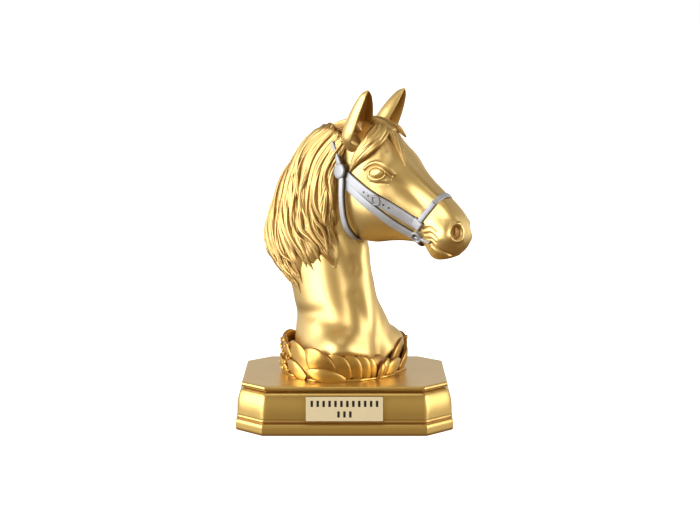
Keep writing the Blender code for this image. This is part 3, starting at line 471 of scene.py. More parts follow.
# Station, then half-widths at the bridge, brow, middle, cheek and jaw's edge
WIDTHS = (
    (-36, 8, 12, 12.5, 11, 6), (-25, 9, 13.5, 14.5, 13, 8), (-12, 10.5, 15.5, 15.5, 14.5, 9.5),
    (0, 11.5, 17, 16.2, 14.8, 9.5), (9, 10.2, 16.3, 16, 14.2, 9), (19, 8.4, 13.2, 14.6, 12.6, 7.5),
    (29, 7.2, 10.8, 12.2, 10.8, 6.4), (39, 6.6, 9.6, 10.8, 9.6, 6), (49, 6.6, 10.4, 11.8, 10.4, 6.4),
    (56, 6.8, 11.4, 12.4, 10.8, 6.8), (67, 6.4, 10.4, 11.6, 10.4, 6.4),
)
LEVELS = (0.035, 0.26, 0.5, 0.75, 0.955)
MUZZLE_CAP, NAPE_CAP = (49.0, 63.8), (-30.0, -37.0)
# Where the nape and the lips begin to round off, along the face
NAPE_FROM, LIPS_FROM = -34, 59.5
HEAD_COLUMNS = 151


def cap(a, start, end, power):
    """1 up to start, and then a rounded fall to 0 at end: (1 - x^power)^(1/power)."""
    x = np.clip((a - start) / (end - start), 0, 1)
    return (1 - x**power) ** (1 / power)


def head_section(a, v):
    """Half-width and height over the eye line, at station a and share v of the way from bridge to
    jaw: a smooth line through the widths at each level."""
    shut = cap(a, *MUZZLE_CAP, 2.2) * cap(a, *NAPE_CAP, 2.0)
    top, bottom = flow(DORSAL, a), flow(VENTRAL, a)
    middle = 0.45 * top + 0.55 * bottom + 1.5 * ease(a, 46, 64)
    top, bottom = middle + (top - middle) * shut, middle + (bottom - middle) * shut
    widths = flow(WIDTHS, a) * shut[..., None]
    across = [0 * a] + [widths[..., k] for k in range(5)] + [0 * a]
    down = [top] + [top + (bottom - top) * share for share in LEVELS] + [bottom]
    across = np.stack([-across[1]] + across + [-across[5]], -1)
    down = np.stack([down[1]] + down + [down[5]], -1)
    place = np.clip(v * 6, 0, 6 - 1e-9)
    k = place.astype(int)
    t = place - k

    def through(points):
        p = [np.take_along_axis(points, (k + j)[..., None], -1)[..., 0] for j in range(4)]
        return 0.5 * (
            2 * p[1]
            + (p[2] - p[0]) * t
            + (2 * p[0] - 5 * p[1] + 4 * p[2] - p[3]) * t**2
            + (3 * p[1] - p[0] - 3 * p[2] + p[3]) * t**3
        )

    return through(across), through(down)


def from_face(a, b, w):
    """Face coordinates (along the face, over the eye line, to the left) as the drawing's x, y, z."""
    x = EYE_PLACE[0] + a * math.cos(FACE_SLOPE) - b * math.sin(FACE_SLOPE)
    z = EYE_PLACE[1] + a * math.sin(FACE_SLOPE) + b * math.cos(FACE_SLOPE)
    return np.stack([x, w + 0 * x, z], -1)


def along_keys(keys, count):
    """Even steps along a smooth line through the keys."""
    keys = np.asarray(keys, float)
    gone = np.concatenate([[0], np.cumsum(np.linalg.norm(np.diff(keys, axis=0), axis=1))])
    return flow(np.column_stack([gone, keys]), np.linspace(0, gone[-1], count))


# Soft forms: centre along the face, over the eye line and out from the middle, reach each way, height
SOFT_FORMS = (
    ((1, 7.0, 17), (9, 5.5, 9), 2.6), ((0, 0, 17), (6.5, 4.6, 8), 0.6), ((-11, 4, 16), (7, 6, 9), -1.0),
    ((9, -1, 15), (5, 4, 9), -0.7), ((6, -8, 17), (12, 5, 9), 0.7), ((21, -2.5, 14), (13, 3.4, 9), 0.8),
    ((22, 4.2, 12), (14, 3.0, 9), -0.9), ((4, -20, 16), (17, 15, 12), 1.4), ((57.5, 4.0, 11), (7, 8, 7), 1.0),
    ((46, 8, 9), (9, 4.2, 7), -0.8), ((54, -14.5, 0), (5.5, 5, 12), 1.3), ((43.5, -16, 0), (4, 6, 12), -1.4),
)
# Carved lines: width, height (below 0 for a groove), and the line in face coordinates
FACE_LINES = (
    (0.42, -0.75, ((-7.5, -5.2), (-6.5, -0.7), (-4.3, 2.5), (1.1, 5.0), (7.5, 4.8))),
    (0.75, 0.60, ((-8.4, -4.2), (-7.6, 0.4), (-5.0, 3.9), (0.9, 6.5), (7.8, 6.2))),
    (0.38, -0.5, ((4.4, 3.0), (6.3, 3.4), (8.2, 3.0))),
    (1.1, 0.25, ((-2.5, -5.0), (1.5, -4.3), (5.0, -0.8), (8.0, 1.2))),
    (0.5, -0.2, ((0.8, -5.9), (4.2, -3.8), (6.6, -1.6), (8.8, -0.2))),
    (0.62, -1.0, ((49.95, -7.6), (55.1, -6.9), (59.5, -6.0), (63.7, -6.1), (66.5, -3.2))),
    (0.7, 0.5, ((52.0, -9.0), (56.5, -8.5), (60.5, -7.8), (64.5, -7.6))),
    (0.6, -0.42, ((40.6, -6.0), (44.1, -1.3), (48.5, 0.2))),
    (0.6, -0.42, ((43.3, -7.3), (46.8, -3.1), (51.4, -2.5))),
    (0.5, -0.3, ((46.6, -7.8), (49.2, -5.4), (52.8, -4.9))),
    (1.6, -0.5, ((-12.5, 13.5), (-9.0, 13.0), (-6.0, 12.4))),
    (2.6, 0.4, ((8.7, 0.0), (17.1, 0.9), (24.4, 1.4), (32.8, 1.4))),
    (2.0, 0.25, ((48.5, 7.0), (51.0, 3.6), (53.0, -0.6))),
)
EYE_SLOPE, EYE_HALF_LENGTH, EYE_HALF_HEIGHT = math.radians(39.6), 4.9, 3.15
# Height of the eyeball and its lids, by distance from the eye's middle as a share of its outline
EYE_PROFILE = (
    (0, 1.4), (0.3, 1.32), (0.6, 1.0), (0.84, 0.5), (0.94, -0.3), (0.99, 0.0), (1.06, 0.45),
    (1.16, 0.42), (1.4, 0.12), (1.7, 0.0), (9, 0.0),
)
NOSTRIL, NOSTRIL_WAY, NOSTRIL_HALVES = (57.0, 6.9), (0.694, -0.72), (5.2, 3.0)
# Height of the nostril's hole and rim in the same way
NOSTRIL_PROFILE = (
    (0, -2.3), (0.45, -2.2), (0.66, -1.7), (0.78, -0.2), (0.88, 0.55), (1.0, 0.55), (1.14, 0.05),
    (1.4, -0.1), (1.8, 0.0), (9, 0.0),
)


def face_carving(a, b, w):
    """How far the carving stands over the head's plain form, and its painted shade: soft forms, then
    lines of exp(-(distance / width)^2), then the eye and the nostril by their oval distances. Painted
    shade goes in the grooves, round the eye and inside the nostril, and a painted reflection is a
    dark band across the eyeball."""
    lift, painted_shade = 0 * a, 0 * a
    for (ca, cb, cw), (ra, rb, rw), height in SOFT_FORMS:
        away = ((a - ca) / ra) ** 2 + ((b - cb) / rb) ** 2 + ((np.abs(w) - cw) / rw) ** 2
        lift += height * np.exp(-away)
    for width, height, keys in FACE_LINES:
        cut = height * np.exp(-((line_distance(a, b, along_keys(keys, 16)) / width) ** 2))
        lift += cut * ease(np.abs(w), 2.0, 6.0)
        painted_shade += np.clip(-cut, 0, 1) * ease(np.abs(w), 2.0, 6.0)
    c, s = math.cos(EYE_SLOPE), math.sin(EYE_SLOPE)
    along, up = (a * c + b * s) / EYE_HALF_LENGTH, (b * c - a * s) / EYE_HALF_HEIGHT
    away = (np.abs(along) ** 1.75 + np.abs(up) ** 2) ** 0.53
    lift += flow(EYE_PROFILE, away)
    # painted shade in the groove round the eyeball
    painted_shade += np.exp(-(((away - 0.94) / 0.05) ** 2))
    # painted reflection: a dark band across the middle of the eyeball
    painted_shade += 0.3 * np.exp(-((along / 0.16) ** 2)) * ease(-away, -0.85, -0.6)
    da, db = a - NOSTRIL[0], b - NOSTRIL[1]
    along = (da * NOSTRIL_WAY[0] + db * NOSTRIL_WAY[1]) / NOSTRIL_HALVES[0]
    across = (db * NOSTRIL_WAY[0] - da * NOSTRIL_WAY[1]) / NOSTRIL_HALVES[1]
    away = np.hypot(along, across)
    beside = ease(np.abs(w), 3.0, 5.5)
    inside = ease(-away, -0.85, -0.6) * beside
    rim = flow(NOSTRIL_PROFILE, away)
    lift += np.where(w > 0, np.minimum(rim, 0.1), rim) * beside
    fold = np.exp(-((np.hypot(along + 0.05, across + 0.35) - 0.38) ** 2 / 0.02)) * ease(across, -0.3, 0.1)
    lift += 1.5 * fold * inside
    # painted shade inside the nostril, less on its fold
    painted_shade += inside * (0.95 - 0.8 * fold)
    return lift, painted_shade


def crowded(low, high, count, spots):
    """Places from low to high, closer near each spot (place, reach, weight): even steps of the
    running sum of 1 + weight * exp(-((x - place) / reach)^2)."""
    x = np.linspace(low, high, 2000)
    crowd = 1 + sum(weight * np.exp(-(((x - place) / reach) ** 2)) for place, reach, weight in spots)
    total = np.cumsum(crowd)
    return np.interp(np.linspace(total[0], total[-1], count), total, x)


def head_grid():
    """The head's grid with its carving, and its painted shade in grooves and recesses."""
    quarter = math.pi / 2
    nape = NAPE_FROM - (NAPE_FROM - NAPE_CAP[1]) * np.cos(np.linspace(0, quarter, 14)[:-1])
    face = crowded(NAPE_FROM, LIPS_FROM, 276, ((0, 6, 1.7), (NOSTRIL[0], 6, 1.4)))
    lips = LIPS_FROM + (MUZZLE_CAP[1] - LIPS_FROM) * np.sin(np.linspace(0, quarter, 34)[1:])
    a = np.concatenate([nape, face, lips])
    near = crowded(0, 1, HEAD_COLUMNS, ((0.32, 0.10, 1.2),))
    v = np.concatenate([near, near[1:-1][::-1]])
    side = np.concatenate([-np.ones(HEAD_COLUMNS), np.ones(HEAD_COLUMNS - 2)])
    aa, vv = np.meshgrid(a, v, indexing="ij")
    w, b = head_section(aa, vv)
    plain = from_face(aa, b, w * side)
    lift, painted_shade = face_carving(aa, b, w * side)
    grid = plain + lift[..., None] * outward(plain)
    return grid, np.clip(0.8 * painted_shade + hollowness(grid, 3, 0.8), 0, 1)


cast_bust("head", [head_grid()], bust_paint)

# Ears
# Two pricked ears of the same casting, each a tapering oval round its own axis with its front
# scooped out to a thin rim, and a small lobe low in the opening.

EAR_ROOT, EAR_TIP = (14.2, -11.0, 134.0), (30.2, -18.5, 169.2)
EAR_HALF_WIDTH, EAR_HALF_DEPTH, EAR_OPENING = 7.3, 7.3, math.radians(-8)
# The scoop's half-turn and depth, the lobe's place and height, and the count and height of the ribs
SCOOP_TURN, SCOOP_DEPTH, LOBE_AT, LOBE_HEIGHT, EAR_RIBS, RIB_HEIGHT = 1.12, 1.28, 0.33, 0.55, 14, 0.035
# Share of the way up, then half-width and half-depth as shares of the ear's own
EAR_SHAPE = (
    (0, 0.5, 0.5), (0.09, 0.96, 0.9), (0.2, 1.22, 1.12), (0.32, 1.22, 1.14), (0.47, 1.06, 1.05),
    (0.65, 0.88, 0.9), (0.82, 0.6, 0.66), (0.93, 0.34, 0.4), (1, 0.04, 0.05),
)


def ear_grid(side, rows=80, columns=72):
    """Sections of an oval up the ear's axis, their front pushed in by the scoop."""
    root, tip = np.array([EAR_ROOT, EAR_TIP]) * (1, -side, 1)
    axis = unit(tip - root)
    front = np.array([math.cos(EAR_OPENING), -side * math.sin(EAR_OPENING), 0.0])
    front = unit(front - axis * (front @ axis))
    across = np.cross(axis, front)
    t = np.sin(np.linspace(0, math.pi / 2, rows))
    shape = flow(EAR_SHAPE, t)
    turn = np.linspace(-math.pi, math.pi, columns, endpoint=False)
    opened = np.clip(1 - (np.abs(turn) / SCOOP_TURN) ** 4, 0, 1) ** 0.7
    scoop = opened[None] * (ease(t, 0.16, 0.32) * (1 - ease(t, 0.95, 1)))[:, None]
    lobe = np.exp(-(((t[:, None] - LOBE_AT) / 0.07) ** 2) - ((turn[None] + side * 0.2) / 0.34) ** 2)
    reach = np.cos(turn)[None] * (1 - SCOOP_DEPTH * scoop) + LOBE_HEIGHT * lobe
    ribs = RIB_HEIGHT * np.cos(turn * EAR_RIBS)[None] * scoop
    grid = (
        root + (tip - root) * t[:, None, None]
        + front * ((reach + ribs) * shape[:, 1:2])[..., None] * EAR_HALF_DEPTH
        + across * (np.sin(turn)[None] * shape[:, 0:1])[..., None] * EAR_HALF_WIDTH
    )
    # painted shade inside the scooped front, less on the lobe, and in the ear's recesses
    return grid, np.clip(scoop * (1 - 0.8 * lobe) + hollowness(grid, 2, 0.9), 0, 1)


cast_bust("ears", [ear_grid(side) for side in (-1.0, 1.0)], bust_paint)

# Mane
# Hair that hangs on the near side: a sheet with strands carved along its fall, and locks that lie
# over one another on it and end in points. It is part of the casting.

# Share of the way up the neck and angle round it, at each lock's root and tip, then width and stand
LOCKS = (
    (1.00, -1.42, 0.78, -0.84, 2.6, 1.2), (1.00, -1.65, 0.66, -0.84, 3.0, 1.4),
    (1.00, -1.95, 0.55, -0.94, 3.2, 1.6), (0.995, -2.25, 0.60, -1.18, 3.0, 2.2),
    (0.985, -2.50, 0.56, -1.38, 3.2, 2.2), (0.97, -2.75, 0.58, -1.58, 3.2, 2.6),
    (0.95, -2.95, 0.53, -1.76, 3.2, 2.8), (0.91, -3.05, 0.47, -1.95, 3.4, 2.8),
    (0.87, -3.08, 0.52, -2.12, 3.4, 3.4), (0.83, -3.10, 0.54, -2.32, 3.4, 4.2),
    (0.79, -3.12, 0.58, -2.52, 3.4, 5.2), (0.76, -3.14, 0.60, -2.76, 3.4, 6.0),
)
# How far the hair stands off the crest, by the share of the way up the neck
MANE_STAND = ((0.5, 0.0), (0.6, 2.0), (0.65, 4.6), (0.7, 6.4), (0.76, 3.8), (0.85, 1.4), (0.93, 0.8),
              (1.0, 0.8))
# The third of these is how strongly painted shade darkens the locks and forelock.
MANE_SEED, LOOSE_LOCKS, HAIR_SHADE, STRAND_DEPTH = 7, 58, 0.75, 0.34
# The sheet's ends as shares of the fall, and its strands: width in locks, height and sway
SHEET_ENDS = (-0.42, 1.0)
SHEET_STRANDS = ((1.0, 1.0, 0.16), (0.37, 0.55, 0.10), (0.14, 0.28, 0.05))
# What a loose lock's start, length, lowest end, half-width, stand and sway are drawn from
LOOSE_START, LOOSE_LENGTH, LOOSE_LOWEST = (-0.10, 0.40), (0.50, 0.75), (0.86, 1.04)
LOOSE_HALF_WIDTH, LOOSE_STAND, LOOSE_SWAY = (0.9, 2.2), (0.4, 2.4), (0.15, 0.55)


def neck_over(share, angle, lift):
    """A point that far over the neck's plain skin, and the direction out of it there."""
    step = 1e-3
    up = neck_point(share + step, angle) - neck_point(share - step, angle)
    round_ = neck_point(share, angle + step) - neck_point(share, angle - step)
    normal = unit(np.cross(round_, up))
    return neck_point(share, angle) + normal * np.asarray(lift)[..., None], normal


def mane_stand(share, angle):
    """How thick the hair lies: thickest over the crest, and thin beside the cheek."""
    round_ = np.mod(angle + 2 * math.pi, 2 * math.pi)
    return 0.8 + flow(MANE_STAND, share) * np.exp(-(((round_ - math.pi * 1.04) / 0.75) ** 2))


def mane_fall(lock, t):
    """Where the hair lies, at that lock number and share t from root to tip: a blend of the two
    nearest locks' roots and tips, and for t below 0 over the crest to the far side."""
    root_share, root_angle, tip_share, tip_angle = np.moveaxis(
        flow([(k, *row[:4]) for k, row in enumerate(LOCKS)], lock), -1, 0
    )
    down = np.clip(t, 0, 2)
    share = root_share + (tip_share - root_share) * down
    bend = np.sin(np.clip(down, 0, 1) * math.pi / 2)
    angle = root_angle + (tip_angle - root_angle) * (0.5 * down + 0.5 * bend)
    return share, angle - 1.3 * np.clip(-t, 0, 1)


def strand_ridges(x, t, waves):
    """Strands along the fall: 1 - |sin| ridges at three widths, each bent by slow waves along t."""
    total = 0 * x
    for pitch, height, sway in waves:
        bend = sway * np.sin(5.1 * t + 2.3 * pitch + 0.7 * x) + 0.5 * sway * np.sin(11.7 * t + 1.9 * x)
        total += height * (np.abs(np.sin(math.pi * (x + bend) / pitch)) ** 0.8 - 0.4)
    return total


def mane_sheet(rows=150, columns=420):
    """The sheet under the locks, over the crest and down the near side, closed inside the neck."""
    t = np.linspace(*SHEET_ENDS, rows)
    lock = np.linspace(-0.3, 11.0, columns)
    tt, ll = np.meshgrid(t, lock, indexing="ij")
    share, angle = mane_fall(np.clip(ll, 0, 11), tt)
    angle = angle + 0.12 * np.clip(-ll, 0, 1)
    edge = ease(tt, SHEET_ENDS[0], -0.30) * (1 - ease(tt, 0.80, 1.0)) * ease(ll, -0.3, 0.4)
    ridges = strand_ridges(ll, tt, SHEET_STRANDS)
    thick = (mane_stand(share, angle) + 0.6 + ridges) * edge - 1.2 * (1 - edge)
    outer, _ = neck_over(share, angle, thick)
    inner_share, inner_angle = share[:, ::-28], angle[:, ::-28]
    inner, _ = neck_over(inner_share, inner_angle, -4.0 + 0 * inner_share)
    grid = np.concatenate([outer, inner], 1)
    # painted shade over the sheet under the locks, less on the strands' ridges
    dark = np.clip(0.85 - ridges * 0.4, 0, 1) * edge
    return grid, np.concatenate([dark, 0 * inner_share], 1)


def squared(turn, squareness):
    """Cosine and sine of the turn, each to that power: below 1 they go round a rounded square."""
    return [np.sign(v) * np.abs(v) ** squareness for v in (np.cos(turn), np.sin(turn))]


def swept(path, normal, half_width, half_depth, columns, squareness=1.0, strands=0, wander=0.0):
    """A closed band or lock along a path: an oval section with the given squareness, flat to the
    surface it lies on, whose radius goes in and out once for each strand."""
    path, normal = np.asarray(path, float), np.asarray(normal, float)
    ahead = unit(np.gradient(path, axis=0))
    across = unit(np.cross(ahead, normal))
    out = np.cross(across, ahead)
    turn = np.linspace(0, 2 * math.pi, columns, endpoint=False)
    cos, sin = squared(turn, squareness)
    t = np.linspace(0, 1, len(path))[:, None]
    phase = wander + 1.6 * np.sin(4.0 * t + wander) + 0.8 * np.sin(9.0 * t + 2 * wander)
    ripple = np.abs(np.sin(0.5 * strands * turn[None] + phase)) if strands else np.ones((len(path), columns))
    radius = (1 - STRAND_DEPTH * (1 - ripple ** 0.6) * (strands > 0))[..., None]
    half_width = np.broadcast_to(half_width, len(path))[:, None, None]
    half_depth = np.broadcast_to(half_depth, len(path))[:, None, None]
    grid = (
        path[:, None]
        + across[:, None] * cos[:, None] * half_width * radius
        + out[:, None] * sin[:, None] * half_depth * radius
    )
    # painted shade in the grooves between strands and, on a lock, along its sides
    return grid, np.clip(1 - ripple + 0.9 * np.abs(np.cos(turn))[None] ** 5 * (strands > 0), 0, 1)


def mane_lock(lock, start, end, half_width, over, sway, phase, rows, columns, strands):
    """One lock along the fall, swaying across it as a wave, thin at its root and pointed at its tip.
    It stands that far over the sheet and tucks down at its tip."""
    t = np.linspace(0, 1, rows)
    down = start + (end - start) * t
    beside = lock + sway * np.sin(2.2 * math.pi * t + phase) * (0.3 + t)
    share, angle = mane_fall(np.clip(beside, 0, 11), down)
    angle = angle + 0.10 * np.clip(beside - 11, -1, 1) * (beside > 11)
    hung = mane_stand(share, angle) * (1 - ease(down, 0.72, 1.02))
    lift = hung + 0.5 + over * np.sin(math.pi * np.clip(t, 0, 1)) ** 0.7 - 0.5 * ease(t, 0.8, 1.0)
    path, normal = neck_over(share, angle, lift)
    taper = flow(((0, 0.35), (0.15, 0.8), (0.4, 1), (0.7, 0.8), (0.9, 0.36), (1, 0.03)), t)
    return swept(path, normal, half_width * taper, 1.5 * taper + 0.08, columns, 1.0, strands, phase)


def mane_locks():
    """The broad locks of the table, then loose ones of drawn width, length and sway over them."""
    draw = np.random.default_rng(MANE_SEED)
    broad = []
    for k, (*_, half_width, stand) in enumerate(LOCKS):
        phase = draw.uniform(0, 6)
        broad.append(mane_lock(k, -0.12, 1.0, half_width, 0.25 * stand, 0.22, phase, 90, 40, 9))
    loose = []
    for k in range(LOOSE_LOCKS):
        lock = -0.2 + 11.3 * (k + 0.5) / LOOSE_LOCKS + draw.uniform(-0.2, 0.2)
        start = draw.uniform(*LOOSE_START)
        end = start + draw.uniform(*LOOSE_LENGTH)
        end = min(end, draw.uniform(*LOOSE_LOWEST))
        half_width, over = draw.uniform(*LOOSE_HALF_WIDTH), draw.uniform(*LOOSE_STAND)
        sway, phase = draw.uniform(*LOOSE_SWAY), draw.uniform(0, 6)
        loose.append(mane_lock(lock, start, end, half_width, over, sway, phase, 56, 24, 5))
    return broad, loose


cast_bust("mane_sheet", [mane_sheet()], bust_paint)
broad_locks, loose_locks = mane_locks()
cast_bust("mane_locks", broad_locks, bust_paint, dark=HAIR_SHADE)
cast_bust("mane_loose_locks", loose_locks, bust_paint, dark=HAIR_SHADE)

# Forelock
# The hair between the ears: a roll over the poll, and locks that fall over the brow and temple.

# Face coordinates along, over and to the side, then half-width and half-depth
FORELOCK = (
    ((-26, 15.0, 1, 3.6, 2.0), (-19.5, 15.4, 6, 5.4, 2.4), (-16.0, 9.8, 13, 6.0, 2.3),
     (-15.8, 2.4, 15.2, 4.9, 2.0), (-16.2, -5.6, 15.4, 3.2, 1.4), (-15.5, -12.5, 15.2, 0.6, 0.4)),
    ((-27, 15.0, -2, 3.0, 2.0), (-19, 15.9, 1, 3.6, 2.2), (-11, 15.2, 2.2, 3.2, 2.0),
     (-1.6, 14.2, 5, 2.4, 1.4), (8.2, 11.6, 8.6, 0.5, 0.4)),
    ((-27, 14.5, -4, 2.5, 1.8), (-21, 15.8, -6, 3.0, 2.0), (-16, 15.6, -9, 2.6, 1.8),
     (-12.5, 14, -12, 0.8, 0.6)),
)
# Each thin lock on a broad one: how far aside, how narrow and raised, and the phase of its strands
FORELOCK_STRANDS = ((-0.55, 0.42, 1.0, 1.1), (0.5, 0.45, 0.9, 2.4), (0.05, 0.4, 1.5, 4.0))
FORELOCK_STAND = 0.8
# The roll's middle line as x and z in the drawing, then half-width and half-depth
POLL = ((35, 146.0, 4, 3), (26, 152.0, 8, 4), (12, 152.0, 9, 4.5), (-2, 148.6, 9, 4.5), (-14, 140.5, 7, 4))


def forelock_lock(keys, aside, narrower, raised, strands, phase, rows=64, columns=36):
    """A lock through the table's keys, moved aside, narrower and raised, on the head's brow."""
    line = along_keys([(a, b, -w) for a, b, w, _, _ in keys], rows)
    sizes = along_keys([(k * 10.0, wide, deep) for k, (_, _, _, wide, deep) in enumerate(keys)], rows)
    path = from_face(line[:, 0], line[:, 1], line[:, 2])
    middle = from_face(line[:, 0], line[:, 1] * 0.1 - 2, 0 * line[:, 2])
    out = unit(path - middle)
    across = unit(np.cross(unit(np.gradient(path, axis=0)), out))
    t = np.linspace(0, 1, rows)
    shift = aside * sizes[:, 1] * np.sin(math.pi * (0.15 + 0.85 * t))
    path = path + (FORELOCK_STAND + raised * np.sin(math.pi * t))[:, None] * out + shift[:, None] * across
    return swept(path, out, narrower * sizes[:, 1], narrower * sizes[:, 2], columns, 1.0, strands, phase)


def poll_roll(rows=60, columns=80):
    """The roll over the poll, from the crest to the forelock, with strands along it."""
    x, z, wide, deep = along_keys(POLL, rows).T
    path = np.stack([x, 0 * x - 1.0, z - deep + 1.0], -1)
    return swept(path, np.repeat([[0.0, 0.0, 1.0]], rows, 0), wide, deep, columns, 1.0, 26, 0.4)


hair = [poll_roll()]
for keys in FORELOCK:
    hair.append(forelock_lock(keys, 0.0, 1.0, 0.0, 9, 0.6))
    for aside, narrower, raised, phase in FORELOCK_STRANDS:
        hair.append(forelock_lock(keys, aside, narrower, raised, 5, phase, 56, 24))
cast_bust("forelock", hair, bust_paint, dark=HAIR_SHADE)

# Halter
# Straps, a disc, a buckle and a ring raised on the casting and picked out by brush in silver paint,
# with a thin dark line where the silver meets the gold, and a painted shadow ring under each buckle.
# The far side has the same straps.

HALTER_SILVERS = (0.36, 0.38, 0.42), (0.52, 0.54, 0.58)
# Centre lines in face coordinates, and half-widths
CHEEK_STRAP = ((-20, -17.6), (-13.6, -16.5), (-1.8, -14.2), (7, -12.1), (15.1, -10.3), (24.5, -8.6),
               (36, -6.4))
JAW_STRAP = ((-19, -20.6), (-13, -20.3), (3, -18.4), (15.5, -17.1), (27, -16.2), (38, -13.9))
NOSE_STRAP = ((36.8, -5.5), (36.6, -1.3), (36.1, 4.5), (35.8, 9.4))
STRAP_HALF_WIDTHS = (3.1, 2.4, 1.6)
THROAT_HALF_WIDTH = 1.7
# The throat strap in the drawing, from the disc to the middle under the throat
THROAT_LINE = (
    (10.2, -16.6, 121.5), (10.8, -17.5, 115), (10.8, -17.8, 108), (11.1, -17.6, 101), (11.8, -17.0, 94.5),
    (13.2, -15.9, 88.8), (14.6, -13.2, 84.8), (14.4, -8.5, 82.3), (13.6, 0.0, 81.6),
)
THROAT_MIDDLE = (13.0, 92.0)
STRAP_STAND, STRAP_SQUARENESS, LINE_WIDTH = 1.2, 0.42, 0.32
DISC_PLACE, CROWN_TOP, DISC_RADIUS = (9.4, -15.6, 121.6), (2.0, -14.4, 138.5), 4.6
RING_PLACE, RING_RADIUS, RING_WIRE = (39.9, -13.0), 2.9, 0.75
# The disc's face as shares of its radius, with heights
BUTTON = ((1.0, -1.2), (1.0, 2.0), (0.97, 2.4), (0.9, 2.65), (0.6, 2.8), (0.01, 2.9))
KEEPER_PLACE, KEEPER_HALF, KEEPER_WAY = (36.6, -6.0), 2.9, (0.77, 0, -0.64)
BIT_LINE = ((42.0, -12.4), (46, -10.2), (49.7, -8.0))
# Strap holes and the buckle's middle, in face coordinates
STRAP_HOLES = ((1.2, -13.5), (4.8, -12.7), (14.8, -10.4), (18.2, -9.75))
HOLE_PROFILE = ((0.62, -0.5), (0.62, 0.12), (0.5, 0.16))
BUCKLE_PLACE, BUCKLE_RADIUS = (10.0, -11.4), 2.5
# Each strap over the face: its ends on the cheeks, the point that it crosses at, and its half-width
CROSSINGS = ((NOSE_STRAP[-1], (34.9, 13.2), 1.6), (RING_PLACE, (41.5, -18.0), 1.5))
CROSSING_BOW = 1.2


def over_head(a, b, lift, side=-1.0):
    """Points that far over the head's skin, at face coordinates a and b, and the directions out of
    it there: the skin's half-width is read from its section at that height."""

    def skin(a, b):
        v = np.linspace(0, 1, 161)
        w, down = head_section(np.repeat(a[:, None], 161, 1), np.repeat(v[None], len(a), 0))
        reach = np.array([np.interp(-b[i], -down[i], w[i]) for i in range(len(a))])
        for (ca, cb, cw), (ra, rb, rw), height in SOFT_FORMS:
            away = ((a - ca) / ra) ** 2 + ((b - cb) / rb) ** 2 + ((reach - cw) / rw) ** 2
            reach = reach + height * np.exp(-away)
        return from_face(a, b, side * reach)

    a, b = np.asarray(a, float), np.asarray(b, float)
    along = skin(a + 0.6, b) - skin(a - 0.6, b)
    upward = skin(a, b + 0.6) - skin(a, b - 0.6)
    out = unit(np.cross(along, upward))
    out *= np.sign(np.sum(out * np.array([0.0, side, 0.0]), -1, keepdims=True))
    return skin(a, b) + out * lift, out


def head_spot(place, lift, side):
    """One point over the head's skin, and the direction out of it."""
    points, outs = over_head([place[0]], [place[1]], lift, side)
    return points[0], outs[0]


def frame_of(out):
    """Two directions square to out and to each other."""
    first = unit(np.cross(out, np.array([0.0, 0.0, 1.0])))
    return first, np.cross(out, first)


def round_stack(middle, out, profile, columns=40):
    """Rings round a middle, each at a reach and a lift along out: a disc or a hole's fill."""
    first, second = frame_of(out)
    turn = np.linspace(0, 2 * math.pi, columns, endpoint=False)[None, :, None]
    profile = np.array(profile)
    reach, lift = profile[:, :1, None], profile[:, 1:, None]
    return middle + reach * (np.cos(turn) * first + np.sin(turn) * second) + lift * out, 0.0


def wire_ring(middle, out, radius, wire, deep, columns=16, rows=48, squareness=1.0, across=1.0):
    """A ring of oval wire: rows round it of a closed section. Below 1, squareness makes it a
    rounded square, and across makes it longer one way."""
    first, second = frame_of(out)
    turn = np.linspace(0, 2 * math.pi, rows, endpoint=False)
    cos, sin = squared(turn, squareness)
    path = middle + radius * (across * cos[:, None] * first + sin[:, None] * second)
    spoke = unit(path - middle)
    small = np.linspace(0, 2 * math.pi, columns, endpoint=False)
    section = wire * np.cos(small)[:, None] * spoke[:, None] + deep * np.sin(small)[:, None] * out
    return path[:, None] + section, 0.0


def crossing_strap(end, through):
    """Path and directions of a strap over the middle of the face, bowed out between like points on
    both cheeks."""
    (near, near_out), (far, far_out) = [head_spot(end, 0.25, side) for side in (-1.0, 1.0)]
    up = 1.0 if through[1] > 0 else -1.0
    middle = from_face(through[0], through[1] + 0.3 * up, 0.0)
    middle_out = from_face(0.0, up, 0.0) - from_face(0.0, 0.0, 0.0)
    near_bow, far_bow = unit(near_out + middle_out), unit(far_out + middle_out)
    points = [near, 0.5 * (near + middle) + CROSSING_BOW * near_bow, middle,
              0.5 * (far + middle) + CROSSING_BOW * far_bow, far]
    return along_keys(points, 48), unit(along_keys([near_out, near_bow, middle_out, far_bow, far_out], 48))


def throat_band(rows):
    """Path and directions of the throat strap from one disc round to the other: it faces away from
    an upright line inside the neck, and below its foot away from a point there."""
    near = np.array(THROAT_LINE)
    far = near[-2::-1] * np.array([1.0, -1.0, 1.0])
    path = along_keys(np.concatenate([near, far]), rows)
    x, y, z = path.T
    out = np.stack([0.4 * (x - THROAT_MIDDLE[0]), y, np.minimum(z - THROAT_MIDDLE[1], 0.0)], -1)
    return path, unit(out)


silver_forms, line_forms, ring_forms, hole_forms, shadow_forms = [], [], [], [], []


def add_strap(path, out, half_width, stand=STRAP_STAND):
    """Adds a flat band with square edges to the silver, and a lower, slightly wider one to the lines."""
    silver_forms.append(swept(path, out, half_width, stand, 36, STRAP_SQUARENESS))
    line_forms.append(swept(path - 0.35 * out, out, half_width + LINE_WIDTH, 0.62 * stand, 36,
                            STRAP_SQUARENESS))


